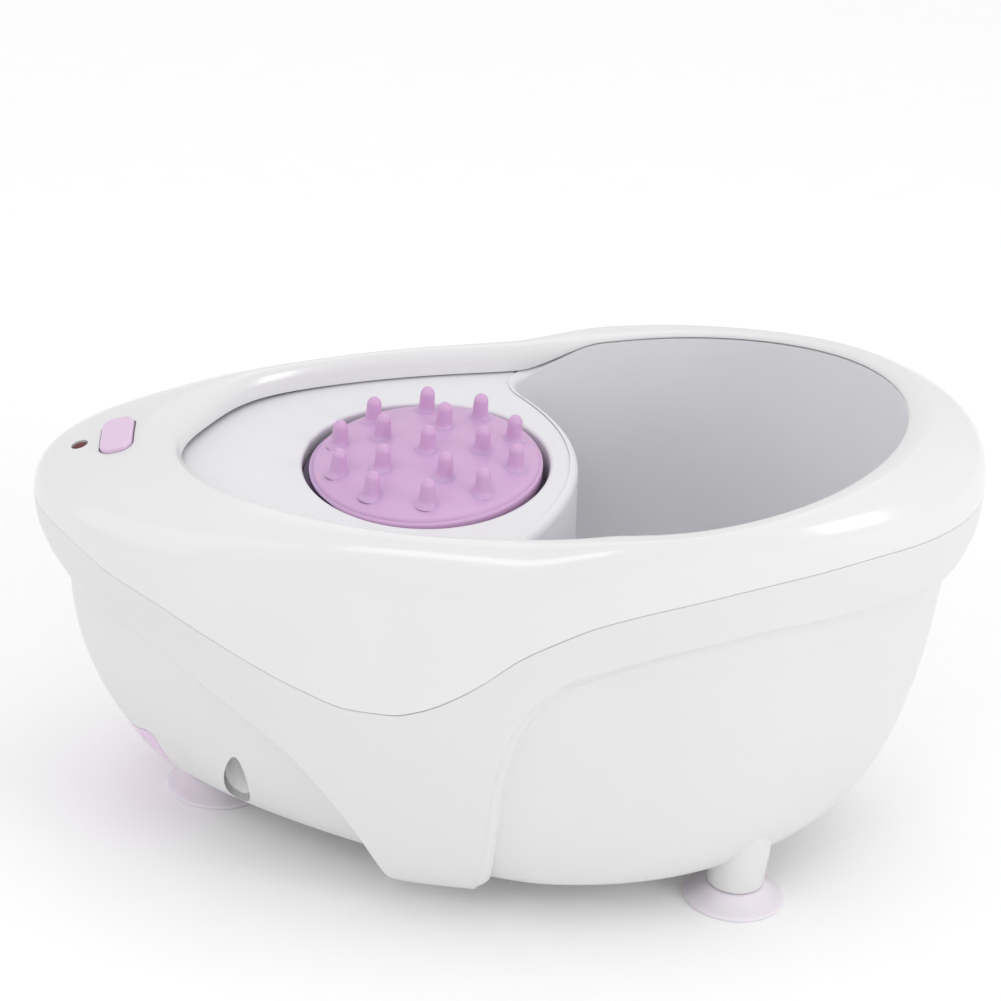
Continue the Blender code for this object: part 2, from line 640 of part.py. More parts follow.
def build_pad(mat):
    a, b = PAD_HOLE[0] - 2.0, PAD_HOLE[1] - 2.0
    count = 32
    rings = []
    for share, low in ((0.985, True), (1.0, False), (0.96, False), (0.86, False), (0.68, False), (0.45, False),
                       (0.22, False)):
        ring = []
        for k in range(count):
            angle = 2 * math.pi * k / count
            u, v = share * math.cos(angle), share * math.sin(angle)
            x = PAD_X + a * u
            z = PAD_UNDERSIDE_Z if low else pad_rim_height(x) + dome_height(u, v) - dome_height(1, 0)
            ring.append(Vector((x, b * v, z)))
        rings.append(ring)
    pad = add_object("massage_pad", loft("massage_pad", rings), mat)
    pegs = []
    for x, y in peg_spots():
        base = pad_rim_height(PAD_X + x) + dome_height(x / a, y / b)
        shank = [(PEG_RADIUS, base - 3.0), (PEG_RADIUS * 0.92, base + PEG_HEIGHT * 0.62),
                 (PEG_RADIUS * 0.68, base + PEG_HEIGHT * 0.9), (PEG_RADIUS * 0.3, base + PEG_HEIGHT)]
        ring = [[Vector((PAD_X + x + r * math.cos(2 * math.pi * k / 8), y + r * math.sin(2 * math.pi * k / 8), z))
                 for k in range(8)] for r, z in shank]
        pegs.append(loft("peg", ring))
    boolean(pad, add_cutter("pegs", joined("pegs", *pegs)), "UNION")
    for side in (1, -1):
        hole = cylinder("pad_screw_hole", 1.5, PAD_UNDERSIDE_Z - 1, PAD_UNDERSIDE_Z + 3.0, (PAD_X, side * 16.0),
                        segments=10)
        boolean(pad, add_cutter("pad_screw_hole", hole), "DIFFERENCE")
    return pad


def elliptical_ring(name, outer, inner, low, high, mat):
    count = 32
    rings = []
    for (a, b), z in ((inner, low), (outer, low), (outer, high), (inner, high)):
        rings.append([Vector((PAD_X + a * math.cos(2 * math.pi * k / count), b * math.sin(2 * math.pi * k / count),
                              z)) for k in range(count)])
    bm = bmesh.new()
    verts = [[bm.verts.new(p * MM) for p in ring] for ring in rings]
    for low_ring, high_ring in zip(verts, verts[1:] + verts[:1]):
        for i in range(count):
            j = (i + 1) % count
            bm.faces.new((low_ring[i], low_ring[j], high_ring[j], high_ring[i]))
    return add_object(name, mesh_from(name, bm), mat)


def along_y(x, y, z):
    """A frame whose Z runs along +Y."""
    return at(x, y, z, Matrix.Rotation(-math.pi / 2, 4, "X"))


def build_motor(steel, black, brass, rubber, bracket_mat):
    for i, spot in enumerate(PAD_MOUNTS):
        low, high = PAD_Z - WELL_DEPTH + GAP, PAD_UNDERSIDE_Z - GAP
        turned(f"pad_mount_{i + 1}", [(0, high), (3.4, high), (3.4, high - 2), (2.6, high - 3.5), (2.6, low + 3.5),
                                      (3.4, low + 2), (3.4, low), (0, low)], rubber, at(*spot, 0), steps=16)
    elliptical_ring("pad_seal", (PAD_HOLE[0] - GAP, PAD_HOLE[1] - GAP), (31.4, 35.4), 102.9, 104.2, rubber)
    top = PAD_UNDERSIDE_Z - GAP
    bracket = add_object("motor_bracket", box("motor_bracket", (PAD_X - 12.0, -20.0, top - 1.6),
                                              (PAD_X + 12.0, 20.0, top)), bracket_mat, smooth_shade=False)
    for side in (1, -1):
        x = PAD_X + side * (MOTOR_RADIUS + 1.2)
        cheek = box("cheek", (x - 0.75, -10.0, MOTOR_Z - 7.0), (x + 0.75, 15.0, top - 1.0))
        boolean(bracket, add_cutter("cheek", cheek), "UNION")
        hole = cylinder("bracket_hole", 1.5, top - 5, top + 3, (PAD_X, side * 16.0), segments=10)
        boolean(bracket, add_cutter("bracket_hole", hole), "DIFFERENCE")
        screw(f"bracket_screw_{1 if side > 0 else 2}", (PAD_X, side * 16.0, top - 1.6 - GAP), 2.4, 1.4, 1.2,
              top + 2.6, steel)
    r = MOTOR_RADIUS
    turned("motor_can", [(0, 14.0), (r - 0.6, 14.0), (r, 13.4), (r, -9.4), (r - 0.6, -10.0), (3.4, -10.0),
                         (3.4, -11.6), (1.4, -11.6), (1.4, -4.0), (0, -4.0)], steel, along_y(PAD_X, 0, MOTOR_Z))
    turned("motor_end_cap", [(0, 17.0), (r - 2.5, 17.0), (r - 1.5, 16.4), (r - 1.5, 14.3), (0, 14.3)], black,
           along_y(PAD_X, 0, MOTOR_Z))
    turned("motor_shaft", [(0, -4.3), (1.1, -4.3), (1.1, -20.5), (0, -20.5)], steel, along_y(PAD_X, 0, MOTOR_Z),
           steps=16)
    weight = add_object("eccentric_weight", cylinder("eccentric_weight", 8.2, -18.5, -12.6), brass)
    boolean(weight, add_cutter("weight_bore", cylinder("weight_bore", 1.4, -25, -5, segments=16)), "DIFFERENCE")
    trim = add_cutter("weight_trim", box("weight_trim", (3.2, -10, -25), (10, 10, -5)))
    boolean(weight, trim, "DIFFERENCE")
    place = along_y(PAD_X, 0, MOTOR_Z)
    weight.matrix_world = place
    trim.matrix_world = place
    bpy.data.objects["weight_bore"].matrix_world = place


# ---------------------------------------------------------------- screws, feet

def screw(name, head_top, head_radius, head_height, shank_radius, shank_top, mat):
    """A screw driven upwards: its head bears on the face at head_top and its shank runs up to shank_top."""
    x, y, z = head_top
    r, h = head_radius, head_height
    body = turned(name, [(0, shank_top), (shank_radius * 0.5, shank_top), (shank_radius, shank_top - 1.2),
                         (shank_radius, z), (r, z), (r, z - h * 0.55), (r * 0.72, z - h), (0, z - h)], mat,
                  at(x, y, 0), steps=12)
    for turn in (0, 1):
        arm = (r * 0.55, r * 0.13)
        low = (-arm[turn], -arm[1 - turn], z - h - 1.0)
        high = (arm[turn], arm[1 - turn], z - h * 0.45)
        cross = add_cutter("cross", box("cross", low, high))
        cross.matrix_world = at(x, y, 0)
        boolean(body, cross, "DIFFERENCE")
    return body


def build_feet(cup_mat, steel):
    spots = (BOWL_FOOT, (BOWL_FOOT[0], -BOWL_FOOT[1]), WRIST_FOOT)
    r = CUP_RADIUS
    for i, spot in enumerate(spots):
        turned(f"suction_cup_{i + 1}", [(0, 10.6), (3.2, 10.6), (3.7, 10.0), (3.7, 5.0), (8.0, 5.0), (9.2, 4.0),
                                        (11.2, 2.6), (13.2, 1.7), (r - 0.1, 1.0), (r, 0.4), (r - 0.3, 0.0),
                                        (r - 1.5, 0.0), (10.0, 1.4), (6.0, 2.5), (0, 2.8)],
               cup_mat, at(*spot, 0), steps=24)
    for i, side in enumerate((1, -1)):
        screw(f"casing_screw_{i + 1}", (BOWL_FOOT[0], side * BOWL_FOOT[1], 13.1), 3.3, 2.0, 1.35, 29.5, steel)
        screw(f"casing_screw_{i + 3}", (NOTCH_SCREW[0], side * NOTCH_SCREW[1], NOTCH_TOP_Z - GAP), 3.3, 2.2, 1.25,
              NOTCH_TOP_Z + 12.0, steel)


# ---------------------------------------------------------------- button, lamp and circuit board

def build_controls(button_mat, lamp_mat, board_mat, black, steel):
    place = ramp_place(BUTTON_X)
    cap = rounded_plate("power_button", BUTTON_SIZE, -3.2, BUTTON_PROUD, 2.6)
    bm = bmesh.new()
    bm.from_mesh(cap)
    rim = [e for e in bm.edges if all(v.co.z > (BUTTON_PROUD - 0.01) * MM for v in e.verts)]
    bmesh.ops.bevel(bm, geom=rim, offset=0.8 * MM, segments=3, profile=0.5, affect="EDGES")
    bm.to_mesh(cap)
    bm.free()
    button = add_object("power_button", cap, button_mat)
    button.matrix_world = place
    flange = add_cutter("button_flange", rounded_plate("button_flange", BUTTON_SIZE, -4.2, -2.8, 2.6, grow=0.9))
    flange.matrix_world = place
    boolean(button, flange, "UNION")
    lamp_shift = (LAMP_X - BUTTON_X) / math.cos(math.atan(RAMP_SLOPE))
    turned("indicator_led", [(0, -0.5), (0.9, -0.7), (1.7, -1.4), (2.1, -2.6), (2.1, -12.1), (0, -12.1)], lamp_mat,
           place @ at(lamp_shift, 0, 0), steps=20)
    board = add_object("circuit_board", rounded_plate("circuit_board", (22.0, 25.0), -14.0, -12.4, 1.5), board_mat,
                       smooth_shade=False)
    board.data.transform(at(-5.0, 0, 0))
    board.matrix_world = place
    body = add_object("switch_body", box("switch_body", (-3.5, -3.5, -12.1), (3.5, 3.5, -8.2), 0.4), black,
                      smooth_shade=False)
    body.matrix_world = place
    bore = add_cutter("switch_bore", cylinder("switch_bore", 2.0, -11.2, 0, segments=16))
    bore.matrix_world = place
    boolean(body, bore, "DIFFERENCE")
    turned("switch_plunger", [(0, -4.5), (1.4, -4.5), (1.7, -4.8), (1.7, -9.8), (0, -9.8)], steel, place, steps=16)
    for i, side in enumerate((1, -1)):
        spot = (BOARD_POST[0], side * BOARD_POST[1])
        hole = add_cutter("board_hole", cylinder("board_hole", 1.2, -16, -10, spot, segments=10))
        hole.matrix_world = place
        boolean(board, hole, "DIFFERENCE")
        turned(f"board_screw_{i + 1}", [(0, -6.0), (0.5, -6.0), (0.9, -6.8), (0.9, -14.3), (2.1, -14.3),
                                        (2.1, -15.2), (1.4, -15.9), (0, -15.9)], steel, place @ at(*spot, 0), steps=12)


# ---------------------------------------------------------------- batteries

def box_place(along=0.0, y=0.0):
    """A frame on the battery axis: Z runs inwards from the door, X down and towards the bowl."""
    dx, dz = math.sin(BOX_TILT), math.cos(BOX_TILT)
    return at(BOX_ENTRY[0] + dx * along, y, BOX_ENTRY[1] + dz * along, Matrix.Rotation(BOX_TILT, 4, "Y"))


def build_batteries(door_mat, black, cell_mat, steel):
    place = box_place()
    holder = add_object("battery_box", box("battery_box", (-9.2, -17.4, BOX_START), (9.2, 17.4, BOX_END), 1.0), black,
                        smooth_shade=False)
    holder.matrix_world = place
    cavity = add_cutter("battery_cavity", box("battery_cavity", (-7.6, -15.8, 5.0), (7.6, 15.8, BOX_END - 1.6)))
    cavity.matrix_world = place
    boolean(holder, cavity, "DIFFERENCE")
    r = CELL_RADIUS
    for i, side in enumerate((1, -1)):
        start, nub = (13.4, 1) if side > 0 else (13.4 + CELL_LENGTH, -1)
        body = [(0, CELL_LENGTH), (2.6, CELL_LENGTH), (2.6, CELL_LENGTH - 1.3), (r - 0.6, CELL_LENGTH - 1.3),
                (r, CELL_LENGTH - 1.9), (r, 0.5), (r - 0.5, 0), (0, 0)]
        turn = Matrix.Identity(4) if nub > 0 else Matrix.Rotation(math.pi, 4, "X")
        turned(f"battery_{i + 1}", body, cell_mat, box_place(start, side * CELL_SPACING / 2) @ turn)
        hole = cylinder("contact_slot", 1.6, BOX_END - 3, BOX_END + 2, (0, side * CELL_SPACING / 2), segments=12)
        slot = add_cutter("contact_slot", hole)
        slot.matrix_world = place
        boolean(holder, slot, "DIFFERENCE")
    tab = turned("contact_tab", [(0, 3.2 + 2.0), (1.2, 3.2 + 2.0), (1.2, 2.9), (4.0, 2.9), (4.0, 2.2), (2.2, 2.0),
                                 (1.6, 0.3), (0, 0.3)], steel, box_place(13.4 + CELL_LENGTH, CELL_SPACING / 2),
                 steps=16)
    turns, points = 2.0, []
    for k in range(13):
        u = k / 12
        a = 2 * math.pi * turns * u
        points.append((3.9 * (1 - 0.35 * u) * math.cos(a), 3.9 * (1 - 0.35 * u) * math.sin(a), 2.7 - 1.9 * u))
    spring = wire("contact_spring", [(0, 0, 5.4), (1.2, 0, 3.6)] + points[1:], 0.35, steel, fine=2)
    spring.matrix_world = box_place(13.4 + CELL_LENGTH, -CELL_SPACING / 2)
    contact = box("door_contact", (-4.5, -CELL_SPACING / 2 - 4.5, BOX_START + 1.0),
                  (4.5, CELL_SPACING / 2 + 4.5, BOX_START + 1.7))
    add_object("door_contact", contact, steel, smooth_shade=False).matrix_world = place
    door = add_object("battery_door", door_prism(GAP), door_mat)
    boolean(door, add_cutter("door_outside", hull_solid("door_outside", BODY, (0.36, 0.64, 0.77, 0.87, 0.94, 1.0))),
            "INTERSECT")
    boolean(door, add_cutter("door_inside", hull_solid("door_inside", BODY, (0.36, 0.64, 0.77, 0.87, 0.94), WALL + 0.4,
                                                       BOTTOM_Z + WALL)), "DIFFERENCE")
    rib = box("door_rib", (-3.5, -12.0, -5.0), (3.5, 12.0, BOX_START + 1.0 - GAP))
    stem = add_cutter("door_rib", rib)
    stem.matrix_world = place
    boolean(stem, add_cutter("rib_outside", hull_solid("rib_outside", BODY, (0.36, 0.64, 0.77, 0.87, 0.94, 0.99), 1.2)),
            "INTERSECT")
    boolean(door, stem, "UNION")


def build_wires(red, black):
    wire("wire_battery_switch", [(-49, 8.5, 75.5), (-52, 12, 84), (-66, 17, 92), (-88, 15, 94), (-108, 9, 95.5)],
         0.7, red)
    wire("wire_switch_motor", [(-108, -9, 95.5), (-88, -17, 93), (-64, -24, 89), (-44, -10, 82), (-38, 12, 82),
                               (-27, 21, 88)], 0.7, red)
    wire("wire_battery_motor", [(-49, -8.5, 75.5), (-45, -4, 77.5), (-30, 8, 77.5), (-21, 20, 82), (-21, 21, 88)],
         0.7, black)


def main():
    satin = material("satin_white_plastic", (0.86, 0.86, 0.86), 0.42)
    gloss = material("gloss_white_plastic", (0.90, 0.90, 0.90), 0.12)
    bowl = material("bowl_plastic", (0.74, 0.74, 0.76), 0.45)
    lilac = material("lilac_plastic", (0.62, 0.50, 0.66), 0.35)
    pad = material("lilac_pad", (0.58, 0.50, 0.66), 0.45)
    cup = material("suction_rubber", (0.55, 0.50, 0.60), 0.40)
    rubber = material("dark_rubber", (0.20, 0.16, 0.24), 0.70)
    lamp = material("lamp_lens", (0.45, 0.04, 0.05), 0.20)
    steel = material("steel", (0.60, 0.60, 0.60), 0.30, 1.0)
    brass = material("brass", (0.72, 0.56, 0.25), 0.35, 1.0)
    black = material("black_plastic", (0.05, 0.05, 0.05), 0.50)
    board = material("circuit_board_green", (0.05, 0.25, 0.12), 0.45)
    cell = material("battery_sleeve", (0.12, 0.12, 0.14), 0.30)
    red = material("wire_red", (0.65, 0.05, 0.05), 0.45)
    dark = material("wire_black", (0.03, 0.03, 0.03), 0.45)
    build_casing(satin)
    build_cover(gloss)
    build_liner(bowl)
    build_pad(pad)
    build_motor(steel, black, brass, rubber, steel)
    build_feet(cup, steel)
    build_controls(lilac, lamp, board, black, steel)
    build_batteries(lilac, black, cell, steel)
    build_wires(red, dark)


clear_scene()
PARTS = collection("hand_spa_basin")
CUTTERS = collection("cutters")
main()
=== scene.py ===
"""Looks of the hand spa basin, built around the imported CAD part.

Shapes are worked out in millimetres, in the frame of the part, and turned into metres when a mesh is
made. The casing, cover, bowl, pad, door, button, lamp and feet are modelled here at full detail.
"""
import json
import math

import bmesh
import bpy
import numpy as np
from mathutils import Matrix, Vector


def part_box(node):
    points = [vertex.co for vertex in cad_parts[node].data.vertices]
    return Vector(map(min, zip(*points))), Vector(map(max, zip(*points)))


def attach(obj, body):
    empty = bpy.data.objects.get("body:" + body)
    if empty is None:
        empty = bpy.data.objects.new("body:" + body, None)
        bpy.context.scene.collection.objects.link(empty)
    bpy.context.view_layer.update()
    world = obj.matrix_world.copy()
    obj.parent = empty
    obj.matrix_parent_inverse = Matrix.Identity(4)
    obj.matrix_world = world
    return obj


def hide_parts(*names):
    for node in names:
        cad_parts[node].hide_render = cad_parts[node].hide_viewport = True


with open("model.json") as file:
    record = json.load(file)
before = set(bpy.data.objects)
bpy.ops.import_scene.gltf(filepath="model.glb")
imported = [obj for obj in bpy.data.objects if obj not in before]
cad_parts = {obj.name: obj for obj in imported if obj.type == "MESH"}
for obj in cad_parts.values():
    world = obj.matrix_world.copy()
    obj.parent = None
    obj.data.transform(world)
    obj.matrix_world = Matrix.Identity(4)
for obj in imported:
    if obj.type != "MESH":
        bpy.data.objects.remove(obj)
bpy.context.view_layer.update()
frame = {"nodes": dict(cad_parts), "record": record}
MM = 0.001


def cad_box(node):
    low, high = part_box(node)
    return np.array(low) / MM, np.array(high) / MM


# ---------------------------------------------------------------- driving dimensions

CASING_LOW, CASING_HIGH = cad_box("lower_casing")
HALF_LENGTH = CASING_HIGH[0]
BOTTOM_Z = 11.3
COVER_WALL = 2.2
PARTING_GAP = 0.13

OPENING_LEFT = -101.8
OPENING_RIGHT = 110.0
OPENING_MIDDLE = 36.5
OPENING_HALF_WIDTH = 63.0
OPENING_LOW_Z = 114.7
OPENING_RISE = 21.2
RISE_START_X = -80.5
RISE_RUN = 190.5
WAIST_X = 5
WAIST_SPREAD = 26
WAIST_DEPTH = 0.04
TIP_STRIP = 6.0
LIP_ROLL_DEPTH = 6.0
BOWL_LIP_RISE = 1.6
BOWL_ROLL_LIFT = 5.2
ROUND_BOWL_START_X = 2.0
ROUND_BOWL_RUN = 26.0
WRIST_LIP_SPREAD = 20
RAMP_SLOPE = 0.33

BOWL_FLOOR_Z = 31.0
BOWL_CENTRE_X = 62.0
BOWL_START_X = 9.0
BULKHEAD_X = 19.0
BULKHEAD_BULGE = 14.0
BULKHEAD_HALF_WIDTH = 44
DISH_SPREAD = 26
DISH_BEVEL = 1.0
PAD_X = -24.0
PAD_HOLE = (35.0, 39.0)
PAD_Z = 111.0
PAD_TILT = 0.10
WELL_FLOOR_Z = 96.0
PAD_DOME = 5.5
PAD_RIM_GAP = 2.0
PEG_RADIUS = 2.3
PEG_HEIGHT = 6.5
INNER_PEGS = (5, 15.5, 16.5)
OUTER_PEGS = (10, 26.0, 29.0)
PAD_EDGE_RADIUS = 0.9

BUTTON_X = -111.3
BUTTON_SIZE = (9.3, 19.0)
BUTTON_PROUD = 1.3
BUTTON_CORNER = 3.7
BUTTON_DEPTH = 4.2
BUTTON_EDGE = 0.9
SLOT_GAP = 0.45
CUTTER_REACH = 8
LAMP_X = -121.8
LAMP_HOLE_RADIUS = 2.5
RAMP_TOP_Z = 112.9

BOWL_FOOT = (71.6, 44.6)
WRIST_FOOT = (-78.6, 0.0)
CUP_RADIUS = 14.5
POST_RADIUS = 8.9
POST_FOOT_Z = 5.3
NOTCH_X = -71.9
NOTCH_Y = 44.1
NOTCH_RADIUS = 3.8
NOTCH_STRETCH = 1.87
NOTCH_TOP_Z = 45.0
DOOR_HALF_WIDTH = 25.5
DOOR_SPREAD = 6.2
DOOR_HEIGHT = 24.0
DOOR_DEPTH = 22.0
DOOR_CORNER = 3.5
DOOR_GAP = 0.35
DOOR_CENTRE_X = -96.8
DOOR_CENTRE_Z = 19.2
DOOR_LEAN = 46.0

CAMERA_ANGLES = (27.28, 4.96, 3.37)
CAMERA_OFFSET = (-6.4, 88.7, 1182.8)
CAMERA_SIDESTEP = 8.5
CAMERA_SENSOR = 36.0
CAMERA_LENS = 143.85614385614386
WORLD_STRENGTH = 0.86
FLOOR_HALF_SIZE = 6.0
LIGHT_AIM = (0, 0, 0.07)
STUDIO_LIGHTS = (
    ("left", (-1.5, -0.65, 0.75), (1.50, 1.00), 3.2),
    ("front_left", (-0.55, -1.2, 1.25), (0.60, 0.35), 2.0),
    ("front_right", (1.2, -0.75, 0.60), (0.50, 0.60), 5.0),
    ("overhead", (0.1, 0.35, 1.5), (1.4, 0.9), 3.0),
)

# The casing is a stack of egg-shaped outlines. Each value below is given at one of these levels, from
# the parting line down to the flat bottom. SKIN is the raised outer skin, BODY the recessed shell in it.
LEVELS = (0.0, 0.10, 0.18, 0.25, 0.32, 0.36, 0.50, 0.64, 0.77, 0.87, 0.94, 1.0)
WRIST_Z = (106, 97, 90, 82, 73, 69.5, 55, 40, 28, 18.5, 13.2, BOTTOM_Z)
BOWL_Z = (127, 117, 109, 101.5, 95, 91, 70, 48, 30, 18.5, 13.2, BOTTOM_Z)
SKIN = {
    "left": (-134.1, -134.2, -133.2, -130, -124.5, -123.2, -121, -119, -117, -115, -113, -112),
    "right": (133.9, 134.2, 133.8, 131.6, 127.8, 127, 126, 125, 124, 123, 122, 121),
    "width": (73.6, 74, 74.1, 74, 73.9, 73.8, 73.5, 73, 72.2, 70.8, 68.8, 67),
    "middle": (10,) * 12,
    "power": (2.0,) * 12,
}
BODY = {
    "left": (-128, -128, -127, -125.5, -123, -123, -120.6, -114.9, -107.8, -101.6, -91.9, -83.1),
    "right": (128, 128.5, 128.5, 128, 127, 126.2, 124.1, 119.9, 113.1, 103, 92, 81.8),
    "width": (72, 72, 72, 72, 72, 71.6, 70.9, 69.9, 68.7, 66.8, 64.7, 61.4),
    "middle": (10, 10, 10, 10, 10, 8.7, 8.1, 9.4, 12.1, 13.8, 14.8, 13.7),
    "power": (2.0, 2.0, 2.0, 2.0, 2.0, 2.01, 2.0, 1.94, 1.81, 1.61, 1.45, 1.4),
}
RIGHT_POWER = 2.1
HULL_MIDDLE_X = 10.0
SHELL_THICKNESS = 2.6
EDGE_SOFTNESS = 1.0
SKIN_LIP_RADIUS = 0.45
SKIN_CORNER_RADIUS = 0.7

# Height of the line between cover and casing, and of the raised skin's lower edge, along the body.
PARTING_X = (-135, -125, -110, -98, -84, -70, -56, -42, -31, -23, -15, -7, 2.5, 13, 23, 50, 76, 105, 135)
PARTING_Z = (97, 96, 90.5, 87, 81.2, 75.5, 70.8, 67.6, 68.0, 70.5,
             75, 81, 89.5, 96, 101, 108.8, 114, 117, 117)
SKIN_EDGE_X = (-135, -123, -101, -86, -71, -58.7, -38.6, -31, -28.4, -25, -20, -4.5,
               -3, -1.5, 2.5, 9.3, 16.4, 26.7, 46, 78, 107, 120, 127, 135)
SKIN_EDGE_Z = (72, 73, 72, 65, 57, 49, 28, 17, 13.2, 11, 8.5, 4,
               20, 48, 66, 76.5, 83, 87, 93, 99, 100, 98, 95, 94)


# ---------------------------------------------------------------- hull of the casing

def smooth(x, xs, ys):
    """A monotone cubic through the points (xs, ys), read at x."""
    xs = np.asarray(xs, float)
    ys = np.asarray(ys, float)
    x = np.clip(np.asarray(x, float), xs[0], xs[-1])
    h = np.diff(xs)
    slope = np.diff(ys) / h
    tangent = np.zeros_like(xs)
    same = slope[:-1] * slope[1:] > 0
    w1 = 2 * h[1:] + h[:-1]
    w2 = h[1:] + 2 * h[:-1]
    below, above = np.where(same, slope[:-1], 1.0), np.where(same, slope[1:], 1.0)
    tangent[1:-1] = np.where(same, (w1 + w2) / (w1 / below + w2 / above), 0.0)
    tangent[0] = slope[0]
    tangent[-1] = slope[-1]
    i = np.clip(np.searchsorted(xs, x) - 1, 0, len(h) - 1)
    s = (x - xs[i]) / h[i]
    a = (1 + 2 * s) * (1 - s) ** 2 * ys[i] + s * s * (3 - 2 * s) * ys[i + 1]
    return a + h[i] * (s * (1 - s) ** 2 * tangent[i] - s * s * (1 - s) * tangent[i + 1])


def level_height(t, x):
    low, high = smooth(t, LEVELS, WRIST_Z), smooth(t, LEVELS, BOWL_Z)
    return low + (high - low) * (x + HALF_LENGTH) / (2 * HALF_LENGTH)


def surface_values(surface, t):
    return [smooth(t, LEVELS, surface[k]) for k in ("left", "right", "middle", "width", "power")]


def hull(surface, theta, t, inset=0.0):
    """Points of the skin or the body at angles theta and levels t, drawn in sideways by inset."""
    theta, t = np.broadcast_arrays(np.asarray(theta, float), np.asarray(t, float))
    left, right, middle, width, power = surface_values(surface, t)
    c, s = np.cos(theta), np.sin(theta)
    p = np.where(c >= 0, RIGHT_POWER, power)
    reach = np.where(c >= 0, right - inset - middle, middle - left - inset)
    x = middle + np.sign(c) * reach * np.abs(c) ** (2 / p)
    y = np.sign(s) * (width - inset) * np.abs(s) ** (2 / p)
    return np.stack([x, y, level_height(t, x)], axis=-1)


def level_where(surface, theta, height_at):
    """The levels at which columns of the hull cross the height given as a function of x."""
    low, high = np.zeros_like(theta), np.ones_like(theta)
    for _ in range(34):
        t = (low + high) / 2
        p = hull(surface, theta, t)
        above = p[..., 2] > height_at(p[..., 0])
        low = np.where(above, t, low)
        high = np.where(above, high, t)
    return (low + high) / 2


def half_width(surface, x, z):
    """Half width of the hull at x and z."""
    low, high = np.zeros_like(x), np.ones_like(x)
    for _ in range(34):
        t = (low + high) / 2
        above = level_height(t, x) > z
        low = np.where(above, t, low)
        high = np.where(above, high, t)
    left, right, middle, width, power = surface_values(surface, t)
    p = np.where(x >= middle, RIGHT_POWER, power)
    reach = np.where(x >= middle, right - middle, middle - left)
    u = np.clip(np.abs(x - middle) / reach, 0, 1)
    return width * (1 - u ** p) ** (1 / p)


def parting_height(x):
    return smooth(x, PARTING_X, PARTING_Z)


def skin_edge_height(x):
    above = smooth(x, SKIN_EDGE_X, SKIN_EDGE_Z) - BOTTOM_Z
    return BOTTOM_Z + EDGE_SOFTNESS * np.logaddexp(0, above / EDGE_SOFTNESS)


def opening_half_width(x):
    reach = np.where(x > OPENING_MIDDLE, OPENING_RIGHT - OPENING_MIDDLE, OPENING_MIDDLE - OPENING_LEFT)
    u = np.clip(np.abs(x - OPENING_MIDDLE) / reach, 0, 1)
    waist = 1 - WAIST_DEPTH * np.exp(-((x - WAIST_X) / WAIST_SPREAD) ** 2)
    return OPENING_HALF_WIDTH * waist * np.sqrt(1 - u * u)


def opening_height(x):
    rise = np.maximum(x - RISE_START_X, 0) / RISE_RUN
    return OPENING_LOW_Z + OPENING_RISE * rise ** 2


def unit(v):
    return v / np.maximum(np.linalg.norm(v, axis=-1, keepdims=True), 1e-12)


def arc_length(points):
    return np.concatenate([[0.0], np.cumsum(np.linalg.norm(np.diff(points, axis=0), axis=1))])


def mirrored(half):
    """Rows of points from the wrist tip to the bowl tip, completed round the other side."""
    other = half[:, -2:0:-1].copy()
    other[..., 1] *= -1
    return np.concatenate([half, other], axis=1)


# ---------------------------------------------------------------- mesh helpers

def grid_mesh(name, rows, ring=False, capped=False):
    """A skin over closed rows of points in millimetres. ring joins the last row to the first one."""
    rows = np.asarray(rows, float)
    count, width = rows.shape[:2]
    index = np.arange(count * width).reshape(count, width)
    low = index if ring else index[:-1]
    high = np.roll(index, -1, axis=0) if ring else index[1:]
    quads = np.stack([low, np.roll(low, -1, 1), np.roll(high, -1, 1), high], axis=-1)
    faces = [tuple(f) for f in quads.reshape(-1, 4).tolist()]
    if capped:
        faces.append(tuple(reversed(index[0].tolist())))
        faces.append(tuple(index[-1].tolist()))
    mesh = bpy.data.meshes.new(name)
    mesh.from_pydata((rows.reshape(-1, 3) * MM).tolist(), [], faces)
    return mesh


def tidy_mesh(mesh, weld=0.0):
    """The mesh with its normals outwards and, if weld is given, its near points joined."""
    bm = bmesh.new()
    bm.from_mesh(mesh)
    if weld:
        bmesh.ops.remove_doubles(bm, verts=bm.verts, dist=weld * MM)
        bmesh.ops.dissolve_degenerate(bm, edges=bm.edges, dist=1e-7)
    bmesh.ops.recalc_face_normals(bm, faces=bm.faces)
    bm.to_mesh(mesh)
    bm.free()
    return mesh


def add_object(name, mesh, mat, body="basin", sharp=None):
    """A smooth-shaded piece that rides on a body. sharp is the angle past which an edge stays crisp."""
    obj = bpy.data.objects.new(name, mesh)
    bpy.context.scene.collection.objects.link(obj)
    mesh.materials.clear()
    mesh.materials.append(mat)
    mesh.shade_smooth()
    if sharp:
        mesh.set_sharp_from_angle(angle=math.radians(sharp))
    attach(obj, body)
    return obj


def boolean_mesh(name, mesh, tool, operation, place=None):
    """The mesh left by a Boolean between two meshes."""
    a = bpy.data.objects.new("base", mesh)
    b = bpy.data.objects.new("tool", tool)
    for obj in (a, b):
        bpy.context.scene.collection.objects.link(obj)
    if place is not None:
        b.matrix_world = place
    mod = a.modifiers.new("cut", "BOOLEAN")
    mod.operation = operation
    mod.solver = "EXACT"
    mod.object = b
    bpy.context.view_layer.update()
    result = bpy.data.meshes.new_from_object(a.evaluated_get(bpy.context.evaluated_depsgraph_get()))
    result.name = name
    bpy.data.objects.remove(a)
    bpy.data.objects.remove(b)
    return result


def lathe_mesh(name, profile, steps=96):
    """A solid of revolution about Z from (radius, height) points, open where it doesn't reach the axis."""
    angle = np.linspace(0, 2 * math.pi, steps, endpoint=False)
    r = np.array([max(p[0], 1e-4) for p in profile])[:, None]
    z = np.array([p[1] for p in profile])[:, None]
    rows = np.stack([r * np.cos(angle), r * np.sin(angle), z + 0 * angle], axis=-1)
    return tidy_mesh(grid_mesh(name, rows), weld=0.005)


